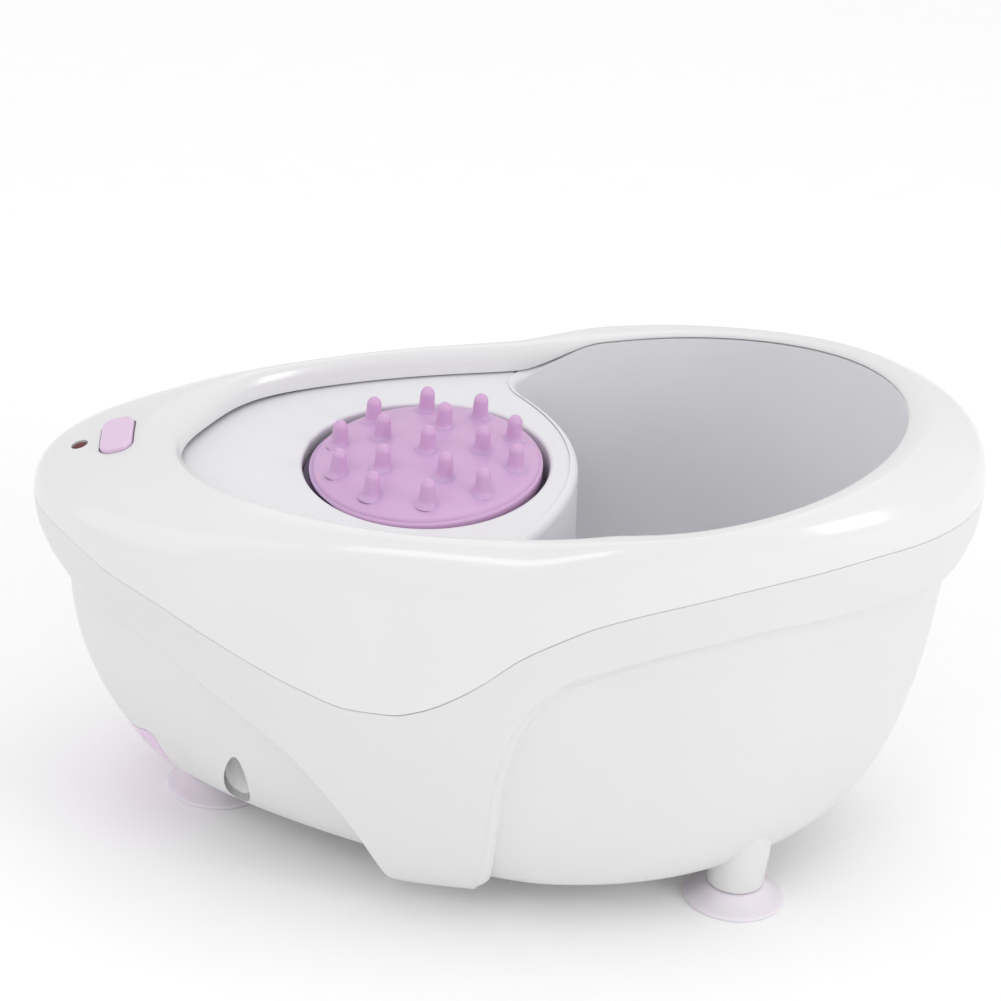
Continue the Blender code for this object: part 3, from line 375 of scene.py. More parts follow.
def rounded(points, radius, steps=5):
    """An open outline with its inner corners rounded off."""
    pts = [np.array(p, float) for p in points]
    out = [pts[0]]
    for before, corner, after in zip(pts, pts[1:], pts[2:]):
        r = min(radius, 0.45 * np.linalg.norm(before - corner), 0.45 * np.linalg.norm(after - corner))
        a = corner + unit(before - corner) * r
        b = corner + unit(after - corner) * r
        for k in range(steps + 1):
            s = k / steps
            out.append(a * (1 - s) ** 2 + corner * 2 * s * (1 - s) + b * s * s)
    out.append(pts[-1])
    return [tuple(p) for p in out]


def join_meshes(name, meshes):
    bm = bmesh.new()
    for mesh in meshes:
        bm.from_mesh(mesh)
    out = bpy.data.meshes.new(name)
    bm.to_mesh(out)
    bm.free()
    return out


def at(x, y, z, rotation=None):
    place = Matrix.Translation(Vector((x, y, z)) * MM)
    return place if rotation is None else place @ rotation


# ---------------------------------------------------------------- materials

def node_material(name):
    mat = bpy.data.materials.new(name)
    mat.use_nodes = True
    nodes, links = mat.node_tree.nodes, mat.node_tree.links
    return mat, nodes, links, nodes["Principled BSDF"]


def add_node(nodes, kind, **values):
    node = nodes.new(kind)
    for key, value in values.items():
        node.inputs[key.replace("_", " ")].default_value = value
    return node


def plastic(name, color, roughness, coat=0.0, texture=0.02, subsurface=0.0):
    """Moulded plastic: faint flow marks in its colour, a fine grain, and handling marks in its gloss."""
    mat, nodes, links, shader = node_material(name)
    coords = nodes.new("ShaderNodeTexCoord")
    flow = add_node(nodes, "ShaderNodeTexNoise", Scale=22.0, Detail=4.0, Roughness=0.55, Distortion=0.6)
    links.new(coords.outputs["Object"], flow.inputs["Vector"])
    ramp = nodes.new("ShaderNodeValToRGB")
    ramp.color_ramp.elements[0].position = 0.25
    ramp.color_ramp.elements[1].position = 0.75
    darker = [c * 0.975 for c in color]
    ramp.color_ramp.elements[0].color = (*darker, 1)
    ramp.color_ramp.elements[1].color = (*color, 1)
    links.new(flow.outputs["Fac"], ramp.inputs["Fac"])
    links.new(ramp.outputs["Color"], shader.inputs["Base Color"])
    marks = add_node(nodes, "ShaderNodeTexNoise", Scale=130.0, Detail=5.0, Roughness=0.65)
    links.new(coords.outputs["Object"], marks.inputs["Vector"])
    gloss = nodes.new("ShaderNodeMapRange")
    gloss.inputs["From Min"].default_value = 0.3
    gloss.inputs["From Max"].default_value = 0.7
    gloss.inputs["To Min"].default_value = roughness * 0.94
    gloss.inputs["To Max"].default_value = roughness * 1.09
    links.new(marks.outputs["Fac"], gloss.inputs["Value"])
    links.new(gloss.outputs["Result"], shader.inputs["Roughness"])
    fine = add_node(nodes, "ShaderNodeTexNoise", Scale=900.0, Detail=2.0, Roughness=0.5)
    links.new(coords.outputs["Object"], fine.inputs["Vector"])
    bump = add_node(nodes, "ShaderNodeBump", Strength=texture, Distance=0.0003)
    links.new(fine.outputs["Fac"], bump.inputs["Height"])
    links.new(bump.outputs["Normal"], shader.inputs["Normal"])
    shader.inputs["Coat Weight"].default_value = coat
    shader.inputs["Coat Roughness"].default_value = 0.06
    if subsurface:
        shader.inputs["Subsurface Weight"].default_value = subsurface
        shader.inputs["Subsurface Scale"].default_value = 0.004
    return mat


def metal(name, color, roughness):
    """Machined metal with a fine directional grain and slight tarnish."""
    mat, nodes, links, shader = node_material(name)
    coords = nodes.new("ShaderNodeTexCoord")
    tarnish = add_node(nodes, "ShaderNodeTexNoise", Scale=90.0, Detail=5.0)
    links.new(coords.outputs["Object"], tarnish.inputs["Vector"])
    ramp = nodes.new("ShaderNodeValToRGB")
    ramp.color_ramp.elements[0].color = (*[c * 0.7 for c in color], 1)
    ramp.color_ramp.elements[1].color = (*color, 1)
    links.new(tarnish.outputs["Fac"], ramp.inputs["Fac"])
    links.new(ramp.outputs["Color"], shader.inputs["Base Color"])
    grooves = add_node(nodes, "ShaderNodeTexWave", Scale=240.0, Distortion=3.0, Detail=2.0)
    links.new(coords.outputs["Object"], grooves.inputs["Vector"])
    bump = add_node(nodes, "ShaderNodeBump", Strength=0.12, Distance=0.0001)
    links.new(grooves.outputs["Fac"], bump.inputs["Height"])
    links.new(bump.outputs["Normal"], shader.inputs["Normal"])
    shader.inputs["Roughness"].default_value = roughness
    shader.inputs["Metallic"].default_value = 1.0
    return mat


# ---------------------------------------------------------------- lower casing

def skin_half(spacing=0.9, rows=46):
    """The raised skin on one side, with a rounded top edge and the step down to the body."""
    theta = np.linspace(math.pi, 0, 5001)
    level = level_where(SKIN, theta, skin_edge_height)
    edge = hull(SKIN, theta, level)
    run = arc_length(edge)
    count = int(run[-1] / spacing)
    at_run = np.linspace(0, run[-1], count)
    theta_e, level_e = np.interp(at_run, run, theta), np.interp(at_run, run, level)
    weight = np.abs(np.diff(edge[:, 2])) * 0.10 + np.linalg.norm(np.diff(edge[:, :2], axis=0), axis=1)
    share = np.interp(at_run, run, np.concatenate([[0.0], np.cumsum(weight)]))
    share /= share[-1]
    level_top = level_where(SKIN, theta, lambda x: parting_height(x) - PARTING_GAP)
    top = hull(SKIN, theta, level_top)
    run_top = arc_length(top)
    theta_p = np.interp(share * run_top[-1], run_top, theta)
    level_p = np.interp(share * run_top[-1], run_top, level_top)

    def on_skin(v):
        return hull(SKIN, theta_p + (theta_e - theta_p) * v, level_p + (level_e - level_p) * v)

    length = np.linalg.norm(on_skin(0.0) - on_skin(1.0), axis=1)
    corner = SKIN_CORNER_RADIUS
    lip = SKIN_LIP_RADIUS
    x_edge = on_skin(1.0)[:, 0]
    chamfer = np.where(x_edge > -6, 1.3 + 2.2 * np.exp(-((np.maximum(x_edge, 0) / 42) ** 2)), 0.0)
    chamfer *= smooth(x_edge, (-8, -3, 112, 128), (0, 1, 1, 0.25))
    first, last = lip / length, 1 - corner / length
    body = [on_skin(first + (last - first) * k / rows) for k in range(rows + 1)]

    def frame_at(points, inner, share):
        angle = theta_p + (theta_e - theta_p) * share
        level = level_p + (level_e - level_p) * share
        across = hull(SKIN, angle + 0.004, level) - hull(SKIN, angle - 0.004, level)
        along = hull(SKIN, angle, np.minimum(level + 0.004, 1)) - hull(SKIN, angle, level - 0.004)
        normal = np.cross(across, along)
        outward = points - np.array([HULL_MIDDLE_X, 0.0, 0.0])
        outward[:, 2] = 0
        normal *= np.sign(np.sum(normal * outward, axis=1, keepdims=True) + 1e-9)
        return unit(normal), unit(points - inner)

    normal, down = frame_at(body[-1], on_skin(last - 0.02), last)
    x, z = body[-1][:, 0], body[-1][:, 2]
    bends = [body[-1] + down * corner * math.sin(a) - normal * corner * (1 - math.cos(a))
             for a in np.radians((22, 45, 68, 90))]
    gap = np.abs(body[-1][:, 1]) - half_width(BODY, x, np.minimum(z, 200))
    gap = np.where(np.abs(x) > 105, 3.4, np.clip(gap, 1.5, 20.0))
    inward = normal.copy()
    inward[:, 2] *= np.where(x < -6, 0.0, 0.3)
    inward = unit(inward)
    square = unit(np.cross(normal, unit(np.gradient(body[-1], axis=0))))
    square *= np.sign(np.sum(square * down, axis=1, keepdims=True))
    slope = np.minimum(gap, 3.2)
    wall = []
    for k in range(1, 7):
        s = k / 6
        side = square * (chamfer * s)[:, None] - inward * (slope * (0.45 * s + 0.55 * s * s))[:, None]
        straight = -inward * (slope * s)[:, None]
        wall.append(bends[-1] + np.where((chamfer > 0.2)[:, None], side, straight))
    wall.append(wall[-1] - inward * (gap - slope + 1.4)[:, None])
    top_normal, up = frame_at(body[0], on_skin(first + 0.02), first)
    over = [body[0] + up * lip * math.sin(a) - top_normal * lip * (1 - math.cos(a))
            for a in np.radians((90, 60, 30))]
    shelf = [over[0] - top_normal * s for s in (3.4, 1.2)]
    inner = shelf[0] - np.array([0, 0, 5.0])
    return np.array([inner] + shelf + over + body + bends + wall)


def body_shell(columns=640, rows=64):
    """The recessed body as a closed shell, from under the raised skin to the flat bottom."""
    theta = np.linspace(0, 2 * math.pi, columns, endpoint=False)
    start = np.minimum(level_where(BODY, theta, lambda x: smooth(x, SKIN_EDGE_X, SKIN_EDGE_Z) + 5.0), 0.5)
    outer = [hull(BODY, theta, start + (1 - start) * (k / rows)) for k in range(rows + 1)]
    bottom = outer[-1]
    centre = np.array([HULL_MIDDLE_X, 0.0, BOTTOM_Z])
    floor = [centre + (bottom - centre) * s for s in (0.985, 0.93, 0.7, 0.4, 0.1)]
    inner = [hull(BODY, theta, start + (0.94 - start) * (k / 16), SHELL_THICKNESS) for k in range(17)]
    low = inner[-1]
    low_centre = np.array([HULL_MIDDLE_X, 0.0, low[:, 2].mean()])
    inner_floor = [low_centre + (low - low_centre) * s for s in (0.6, 0.1)]
    return tidy_mesh(grid_mesh("casing_body", inner_floor[::-1] + inner[::-1] + outer + floor, capped=True))


def door_prism(margin):
    """A leaning prism with rounded corners that cuts the door out of the shell, wider at the top."""
    bm = bmesh.new()
    bmesh.ops.create_cube(bm, size=1.0)
    bmesh.ops.scale(bm, verts=bm.verts, vec=Vector((DOOR_DEPTH, 2.0, DOOR_HEIGHT - 2 * margin)) * MM)
    for v in bm.verts:
        v.co.y *= DOOR_HALF_WIDTH - margin + DOOR_SPREAD * v.co.z / (DOOR_HEIGHT / 2 * MM)
    edges = [e for e in bm.edges if abs(e.verts[0].co.x - e.verts[1].co.x) > 0.01]
    bmesh.ops.bevel(bm, geom=edges, offset=DOOR_CORNER * MM, segments=8, profile=0.5, affect="EDGES")
    mesh = bpy.data.meshes.new("door_prism")
    lean = Matrix.Rotation(-math.radians(DOOR_LEAN), 4, "Y")
    bmesh.ops.transform(bm, verts=bm.verts, matrix=at(DOOR_CENTRE_X, 0, DOOR_CENTRE_Z, lean))
    bmesh.ops.recalc_face_normals(bm, faces=bm.faces)
    bm.to_mesh(mesh)
    bm.free()
    return mesh


def build_casing(mat, door_mat):
    skin = tidy_mesh(grid_mesh("casing_skin", mirrored(skin_half())), weld=0.0)
    shell = body_shell()
    door = boolean_mesh("battery_door_panel", shell.copy(), door_prism(DOOR_GAP), "INTERSECT")
    shell = boolean_mesh("casing_body", shell, door_prism(0.0), "DIFFERENCE")
    solids = [shell, skin]
    theta = np.linspace(0, 2 * math.pi, 240, endpoint=False)
    volume = tidy_mesh(grid_mesh("volume", [hull(BODY, theta, t, 0.02) for t in np.linspace(0.36, 1, 30)],
                                 capped=True))
    for side in (1, -1):
        place = at(NOTCH_X, side * NOTCH_Y, 0, Matrix.Diagonal((1.0, NOTCH_STRETCH, 1.0, 1.0)))
        bore = [(0, 0), (NOTCH_RADIUS, 0), (NOTCH_RADIUS, NOTCH_TOP_Z), (0, NOTCH_TOP_Z)]
        bore = lathe_mesh("bore", bore, 96)
        boss = lathe_mesh("boss", [(0, BOTTOM_Z + 0.6), (NOTCH_RADIUS + 1.8, BOTTOM_Z + 0.6),
                                   (NOTCH_RADIUS + 1.8, NOTCH_TOP_Z + 3), (0, NOTCH_TOP_Z + 3)], 64)
        boss.transform(place)
        solids[0] = boolean_mesh("casing_body", solids[0], bore.copy(), "DIFFERENCE", place)
        boss = boolean_mesh("boss", boss, volume.copy(), "INTERSECT")
        solids.append(boolean_mesh("pocket", boss, bore, "DIFFERENCE", place))
    for x, y in ((BOWL_FOOT[0], BOWL_FOOT[1]), (BOWL_FOOT[0], -BOWL_FOOT[1]), WRIST_FOOT):
        profile = rounded([(4.0, 8.0), (4.0, POST_FOOT_Z), (POST_RADIUS - 0.8, POST_FOOT_Z),
                           (POST_RADIUS, 15.0), (POST_RADIUS + 0.6, 27.0)], 0.8)
        post = lathe_mesh("post", profile)
        post.transform(at(x, y, 0))
        solids.append(post)
    casing = add_object("casing", join_meshes("casing", solids), mat, sharp=38)
    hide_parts("lower_casing")
    panel = add_object("battery_door_panel", tidy_mesh(door, weld=0.03), door_mat, body="door", sharp=30)
    even = panel.modifiers.new("even_shading", "WEIGHTED_NORMAL")
    even.keep_sharp = True
    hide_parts("battery_door")


# ---------------------------------------------------------------- upper cover

def around_bowl(x):
    """Nought along the palm rest, one round the bowl."""
    s = np.clip((x - ROUND_BOWL_START_X) / ROUND_BOWL_RUN, 0, 1)
    return s * s * (3 - 2 * s)


def cover_rows(theta, rows, roll_rows):
    """Rows of the cover from its foot on the parting line, over the crest, and down the inner roll."""
    level = level_where(SKIN, theta, lambda x: parting_height(x) + PARTING_GAP)
    foot = hull(SKIN, theta, level)
    side = np.sign(foot[:, 1])
    share = (foot[:, 0] + HALF_LENGTH) / (2 * HALF_LENGTH)
    x = np.clip(OPENING_LEFT + share * (OPENING_RIGHT - OPENING_LEFT), OPENING_LEFT, OPENING_RIGHT)
    half = opening_half_width(x)
    across = np.abs(foot[:, 1])
    # Close to the axis the opening's half width is made proportional to the foot's, so no columns cross.
    for end in (-1, 1):
        here = foot[:, 0] * end > 0
        strip = here & (across > TIP_STRIP) & (across < 1.4 * TIP_STRIP)
        if strip.any():
            even = across * np.mean(half[strip] / across[strip])
            fade = np.clip(across / TIP_STRIP, 0, 1) ** 2
            half = np.where(here & (across < TIP_STRIP), half * fade + even * (1 - fade), half)
    edge = np.stack([x, side * half, opening_height(x)], axis=-1)
    outward = foot - edge
    outward[:, 2] = 0
    reach = np.linalg.norm(outward, axis=1)
    outward = unit(outward)
    soft = np.exp(-((x - OPENING_LEFT) / WRIST_LIP_SPREAD) ** 2)
    bowl = around_bowl(x)
    lip = 4.0 - 1.8 * soft + 2.2 * bowl
    roll = 4.0 + 7.0 * soft + 2.2 * bowl
    up = np.array([0.0, 0.0, 1.0])
    crest = edge + outward * lip[:, None] + up * (1.5 - 0.9 * soft + BOWL_LIP_RISE * bowl)[:, None]
    end = np.abs(outward[:, 0]) ** 1.5
    slope = 0.12 + (RAMP_SLOPE - 0.12) * end
    reach = reach - lip
    arm = 0.62 + 0.14 * end
    lift = foot + up * ((crest[:, 2] - foot[:, 2]) * (0.62 - 0.08 * end))[:, None]
    lean = crest + outward * (arm * reach)[:, None] - up * (arm * reach * slope)[:, None]
    points = []
    for k in range(rows + 1):
        v = k / rows
        points.append(foot * (1 - v) ** 3 + lift * (3 * v * (1 - v) ** 2)
                      + lean * (3 * v * v * (1 - v)) + crest * v ** 3)
    drop = LIP_ROLL_DEPTH + 1.5 - BOWL_ROLL_LIFT * bowl
    for k in range(1, roll_rows + 1):
        a = math.pi / 2 * k / roll_rows
        points.append(crest - outward * (roll * math.sin(a))[:, None]
                      - up * (drop * (1 - math.cos(a)))[:, None])
    return np.array(points)


def offset_rows(rows, distance):
    """The rows moved inwards along their surface normals."""
    along = np.roll(rows, -1, axis=1) - np.roll(rows, 1, axis=1)
    across = np.gradient(rows, axis=0)
    return rows - unit(np.cross(along, across)) * distance


def build_cover(mat):
    theta = np.linspace(0, 2 * math.pi, 720, endpoint=False)
    outer = cover_rows(theta, 54, 14)
    inner = offset_rows(outer, COVER_WALL)
    # The wall grows towards the middle of the basin, whichever way the normals run.
    if np.linalg.norm(inner[20, 0] - outer[20, 180]) > np.linalg.norm(outer[20, 0] - outer[20, 180]):
        inner = offset_rows(outer, -COVER_WALL)
    inner[0, :, 2] = outer[0, :, 2]
    mesh = tidy_mesh(grid_mesh("cover", np.concatenate([outer, inner[::-1]]), ring=True))
    slot = rounded_plate("slot", BUTTON_SIZE, -CUTTER_REACH, CUTTER_REACH, BUTTON_CORNER, SLOT_GAP)
    mesh = boolean_mesh("cover", mesh, slot, "DIFFERENCE", ramp_place(BUTTON_X))
    hole = lathe_mesh("hole", [(0, -CUTTER_REACH), (LAMP_HOLE_RADIUS, -CUTTER_REACH),
                               (LAMP_HOLE_RADIUS, CUTTER_REACH), (0, CUTTER_REACH)], 64)
    mesh = boolean_mesh("cover", mesh, hole, "DIFFERENCE", ramp_place(LAMP_X))
    cover = add_object("cover", mesh, mat, sharp=40)
    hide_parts("upper_cover")


def ramp_place(x):
    """A frame on the wrist-end ramp at x: its Z is the ramp's normal."""
    tilt = Matrix.Rotation(-math.atan(RAMP_SLOPE), 4, "Y")
    return at(x, 0, RAMP_TOP_Z + (x - BUTTON_X) * RAMP_SLOPE, tilt)


def rounded_plate(name, size, low, high, corner, grow=0.0, bevel=0.0):
    """A plate with rounded corners from low to high, grown sideways, with its top edge bevelled."""
    bm = bmesh.new()
    bmesh.ops.create_cube(bm, size=1.0)
    full = Vector((size[0] + 2 * grow, size[1] + 2 * grow, high - low))
    bmesh.ops.scale(bm, verts=bm.verts, vec=full * MM)
    bmesh.ops.translate(bm, verts=bm.verts, vec=Vector((0, 0, (low + high) / 2)) * MM)
    upright = [e for e in bm.edges if abs(e.verts[0].co.z - e.verts[1].co.z) > 1e-6]
    radius = (corner + grow) * MM
    bmesh.ops.bevel(bm, geom=upright, offset=radius, segments=10, profile=0.5, affect="EDGES")
    if bevel:
        rim = [e for e in bm.edges if all(v.co.z > (high - 0.01) * MM for v in e.verts)]
        bmesh.ops.bevel(bm, geom=rim, offset=bevel * MM, segments=6, profile=0.5, affect="EDGES")
    mesh = bpy.data.meshes.new(name)
    bmesh.ops.recalc_face_normals(bm, faces=bm.faces)
    bm.to_mesh(mesh)
    bm.free()
    return mesh


def build_controls(button_mat, lamp_mat):
    place = ramp_place(BUTTON_X)
    cap = rounded_plate("button_cap", BUTTON_SIZE, -BUTTON_DEPTH, BUTTON_PROUD, BUTTON_CORNER,
                        bevel=BUTTON_EDGE)
    cap.transform(place)
    button = add_object("button_cap", cap, button_mat, body="button", sharp=50)
    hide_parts("power_button")
    lens = lathe_mesh("lamp_lens", [(0, -0.15), (0.7, -0.17), (1.4, -0.24), (1.9, -0.38), (2.2, -0.7),
                                    (2.3, -1.2), (2.3, -3.0), (2.1, -3.2), (2.1, -12.1), (0, -12.1)], 48)
    lens.transform(ramp_place(LAMP_X))
    lamp = add_object("lamp_lens", lens, lamp_mat)
    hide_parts("indicator_led")


# ---------------------------------------------------------------- bowl and palm rest

def dish_height(x):
    soft = np.exp(-((x - OPENING_LEFT) / DISH_SPREAD) ** 2)
    return opening_height(x) - LIP_ROLL_DEPTH - 0.6 - 2.6 * soft


def bulkhead_x(y):
    return BULKHEAD_X - BULKHEAD_BULGE * (y / BULKHEAD_HALF_WIDTH) ** 2


def bowl_loop(count=520):
    """Outline of the bowl seen from above, with points spread evenly along it."""
    a = np.linspace(0, math.pi / 2, 160)
    x = BOWL_START_X + (OPENING_RIGHT - BOWL_START_X) * np.sin(a)
    right = np.stack([x, opening_half_width(x) + 0.3], axis=-1)
    y = np.linspace(-BULKHEAD_HALF_WIDTH, BULKHEAD_HALF_WIDTH, 90)
    left = np.stack([bulkhead_x(y), y], axis=-1)
    corner = []
    p0, p1, p2, p3 = (np.array(p) for p in (left[-1], (1.6, 49.5), (1.0, 57.0), right[0]))
    for s in np.linspace(0, 1, 24)[1:-1]:
        corner.append(p0 * (1 - s) ** 3 + p1 * 3 * s * (1 - s) ** 2
                      + p2 * 3 * s * s * (1 - s) + p3 * s ** 3)
    half = np.concatenate([np.array(corner), right])
    other = half[-2::-1] * np.array([1, -1])
    loop = np.concatenate([left, half, other])
    closed = np.vstack([loop, loop[:1]])
    run = arc_length(closed)
    u = np.linspace(0, run[-1], count, endpoint=False)
    return np.stack([np.interp(u, run, closed[:, 0]), np.interp(u, run, closed[:, 1])], axis=1)


def bowl_surface():
    """The deep bowl, and the outline on which it meets the palm rest."""
    loop = bowl_loop()
    d = loop - np.array([BOWL_CENTRE_X, 0.0])
    radial = unit(d)
    tangent = unit(np.roll(loop, -1, axis=0) - np.roll(loop, 1, axis=0))
    normal = np.stack([-tangent[:, 1], tangent[:, 0]], axis=-1)
    normal *= np.sign(np.sum(normal * radial, axis=1, keepdims=True))
    on_dish = smooth(loop[:, 0], (1.0, 4.0, 10.0, 20.0), (1.0, 0.95, 0.3, 0.0))
    on_dish = np.where((np.abs(loop[:, 1]) < 46) & (loop[:, 0] < 25), 1.0, on_dish)
    fillet = 0.5 + 1.9 * on_dish
    lifted = around_bowl(loop[:, 0]) * (BOWL_LIP_RISE + BOWL_ROLL_LIFT) * (1 - on_dish)
    top_z = dish_height(loop[:, 0]) - 0.02 + lifted
    outside = loop + normal * fillet[:, None]
    flange = normal * (2.6 * (1 - on_dish) + 0.02)[:, None]
    rows = [np.column_stack([outside + flange, top_z])]
    for k in range(9):
        a = math.pi / 2 * k / 8
        xy = loop + normal * (fillet * (1 - math.sin(a)))[:, None]
        rows.append(np.column_stack([xy, top_z - fillet * (1 - math.cos(a))]))
    share = np.array((1.0, 0.985, 0.93, 0.85, 0.74, 0.60, 0.42, 0.2, 0.02))
    height = np.array((1.0, 0.83, 0.46, 0.215, 0.08, 0.018, 0.0, 0.0, 0.0))
    levels = np.concatenate([[0], np.cumsum(np.hypot(np.diff(share) * 60, np.diff(height) * 90))])
    steps = np.linspace(0, levels[-1], 90)
    low = rows[-1][:, 2]
    for s, z in zip(smooth(steps, levels, share), smooth(steps, levels, height)):
        rows.append(np.column_stack([np.array([BOWL_CENTRE_X, 0.0]) + d * s,
                                     BOWL_FLOOR_Z + (low - BOWL_FLOOR_Z) * z]))
    return grid_mesh("bowl", rows), outside


def dish_surface(outside, count=720):
    """The palm rest: a sheet from the opening and the bowl's outline in to the pad's well."""
    phi = np.linspace(0, 2 * math.pi, count, endpoint=False)
    ray = np.stack([np.cos(phi), np.sin(phi)], axis=-1)
    hub = np.array([PAD_X, 0.0])
    reach = np.full(count, 40.0)
    for r in np.arange(40.0, 130.0, 0.05):
        p = hub + ray * r
        inside = np.abs(p[:, 1]) < opening_half_width(p[:, 0]) + 1.2
        inside &= p[:, 0] > OPENING_LEFT - 1.2
        reach = np.where(inside & (reach >= r - 0.08), r, reach)
    # Where a ray crosses the bowl's outline first, the sheet stops there.
    ends = np.roll(outside, -1, axis=0)
    for a, b in zip(outside - hub, ends - hub):
        edge = b - a
        cross = ray[:, 0] * edge[1] - ray[:, 1] * edge[0]
        cross = np.where(np.abs(cross) < 1e-9, 1e-9, cross)
        along = (a[0] * edge[1] - a[1] * edge[0]) / cross
        share = (a[0] * ray[:, 1] - a[1] * ray[:, 0]) / cross
        reach = np.where((share >= 0) & (share <= 1) & (along > 0) & (along < reach), along, reach)
    rim_reach = 1 / np.sqrt((ray[:, 0] / PAD_HOLE[0]) ** 2 + (ray[:, 1] / PAD_HOLE[1]) ** 2)
    rows = []
    for k in range(41):
        r = reach + (rim_reach + DISH_BEVEL - reach) * k / 40
        p = hub + ray * r[:, None]
        rows.append(np.column_stack([p, dish_height(p[:, 0])]))
    for k in range(1, 7):
        a = math.pi / 2 * k / 6
        r = rim_reach + DISH_BEVEL * (1 - math.sin(a))
        p = hub + ray * r[:, None]
        rows.append(np.column_stack([p, dish_height(p[:, 0]) - DISH_BEVEL * (1 - math.cos(a))]))
    for z in (105.0, 100.0, WELL_FLOOR_Z):
        rows.append(np.column_stack([hub + ray * rim_reach[:, None], np.full(count, z)]))
    seat = hub + ray * (rim_reach * 0.62)[:, None]
    rows.append(np.column_stack([seat, np.full(count, WELL_FLOOR_Z)]))
    return grid_mesh("dish", rows)


def build_liner(mat):
    bowl, outside = bowl_surface()
    dish = dish_surface(outside)
    liner = add_object("liner", join_meshes("liner", [bowl, dish]), mat, sharp=50)
    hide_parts("bowl_liner")


# ---------------------------------------------------------------- massage pad

def pad_rim_height(x):
    return PAD_Z - 1.0 + PAD_TILT * (x - PAD_X)


def dome_height(u, v):
    return PAD_DOME * np.sqrt(np.maximum(0.0, 1 - 0.96 * np.minimum(1.0, u * u + v * v)))


def peg_spots():
    """One peg in the middle and two rings round it, the outer ring turned by half a step."""
    spots = [(0.0, 0.0)]
    for (count, reach_x, reach_y), turn in ((INNER_PEGS, 0.0), (OUTER_PEGS, 0.5)):
        for k in range(count):
            angle = 2 * math.pi * (k + turn) / count
            spots.append((reach_x * math.cos(angle), reach_y * math.sin(angle)))
    return spots


def build_pad(mat):
    a, b = PAD_HOLE[0] - PAD_RIM_GAP, PAD_HOLE[1] - PAD_RIM_GAP
    low = cad_box("massage_pad")[0][2]
    phi = np.linspace(0, 2 * math.pi, 160, endpoint=False)
    rows = []
    edge = PAD_EDGE_RADIUS
    for share, drop in ((0.97, None), (1.0, 3.2), (1.0, 2.0), (1.0, edge)):
        x = PAD_X + a * share * np.cos(phi)
        z = np.full_like(x, low) if drop is None else np.maximum(pad_rim_height(x) - drop, low)
        rows.append(np.column_stack([x, b * share * np.sin(phi), z]))
    for k in range(1, 6):
        c = math.pi / 2 * k / 5
        share = 1 - edge * (1 - math.cos(c)) / a
        x = PAD_X + a * share * np.cos(phi)
        z = pad_rim_height(x) - edge * (1 - math.sin(c))
        rows.append(np.column_stack([x, b * share * np.sin(phi), z]))
    rest = dome_height(np.array(1.0), np.array(0.0))
    for share in np.linspace(0.968, 0.01, 44):
        u, v = share * np.cos(phi), share * np.sin(phi)
        x = PAD_X + a * u
        rows.append(np.column_stack([x, b * v, pad_rim_height(x) + (dome_height(u, v) - rest)]))
    meshes = [tidy_mesh(grid_mesh("pad", rows, capped=True))]
    for x, y in peg_spots():
        base = float(pad_rim_height(PAD_X + x) + dome_height(x / a, y / b) - rest)
        r, h = PEG_RADIUS, PEG_HEIGHT + float(rest)
        cap = h * 0.66
        profile = [(r + 1.5, -0.6), (r + 0.75, 0.12), (r + 0.3, 0.6), (r + 0.08, 1.3), (r * 0.98, 2.2),
                   (r * 0.92, cap)]
        profile += [(r * 0.92 * math.cos(c), cap + (h - cap) * math.sin(c))
                    for c in np.radians(range(10, 91, 10))]
        peg = lathe_mesh("peg", profile[::-1], 40)
        peg.transform(at(PAD_X + x, y, base))
        meshes.append(peg)
    pad = add_object("pad_skin", join_meshes("pad_skin", meshes), mat, body="pad", sharp=60)
    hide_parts("massage_pad")


# ---------------------------------------------------------------- feet

def build_feet(mat):
    r = CUP_RADIUS
    profile = rounded([(0, 10.6), (3.2, 10.6), (3.7, 10.0), (3.7, 5.0), (8.0, 5.0), (9.2, 4.0), (11.2, 2.6),
                       (13.2, 1.7), (r, 1.0), (r, 0.0), (r - 1.5, 0.0), (12.0, 0.7), (9.0, 1.8), (5.0, 2.6),
                       (0, 2.8)], 0.9, 4)
    spots = ((BOWL_FOOT[0], BOWL_FOOT[1]), (BOWL_FOOT[0], -BOWL_FOOT[1]), WRIST_FOOT)
    for i, (x, y) in enumerate(spots):
        mesh = lathe_mesh(f"cup_{i + 1}", profile)
        mesh.transform(at(x, y, 0))
        cup = add_object(f"cup_{i + 1}", mesh, mat, sharp=50)
        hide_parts(f"suction_cup_{i + 1}")


# ---------------------------------------------------------------- studio

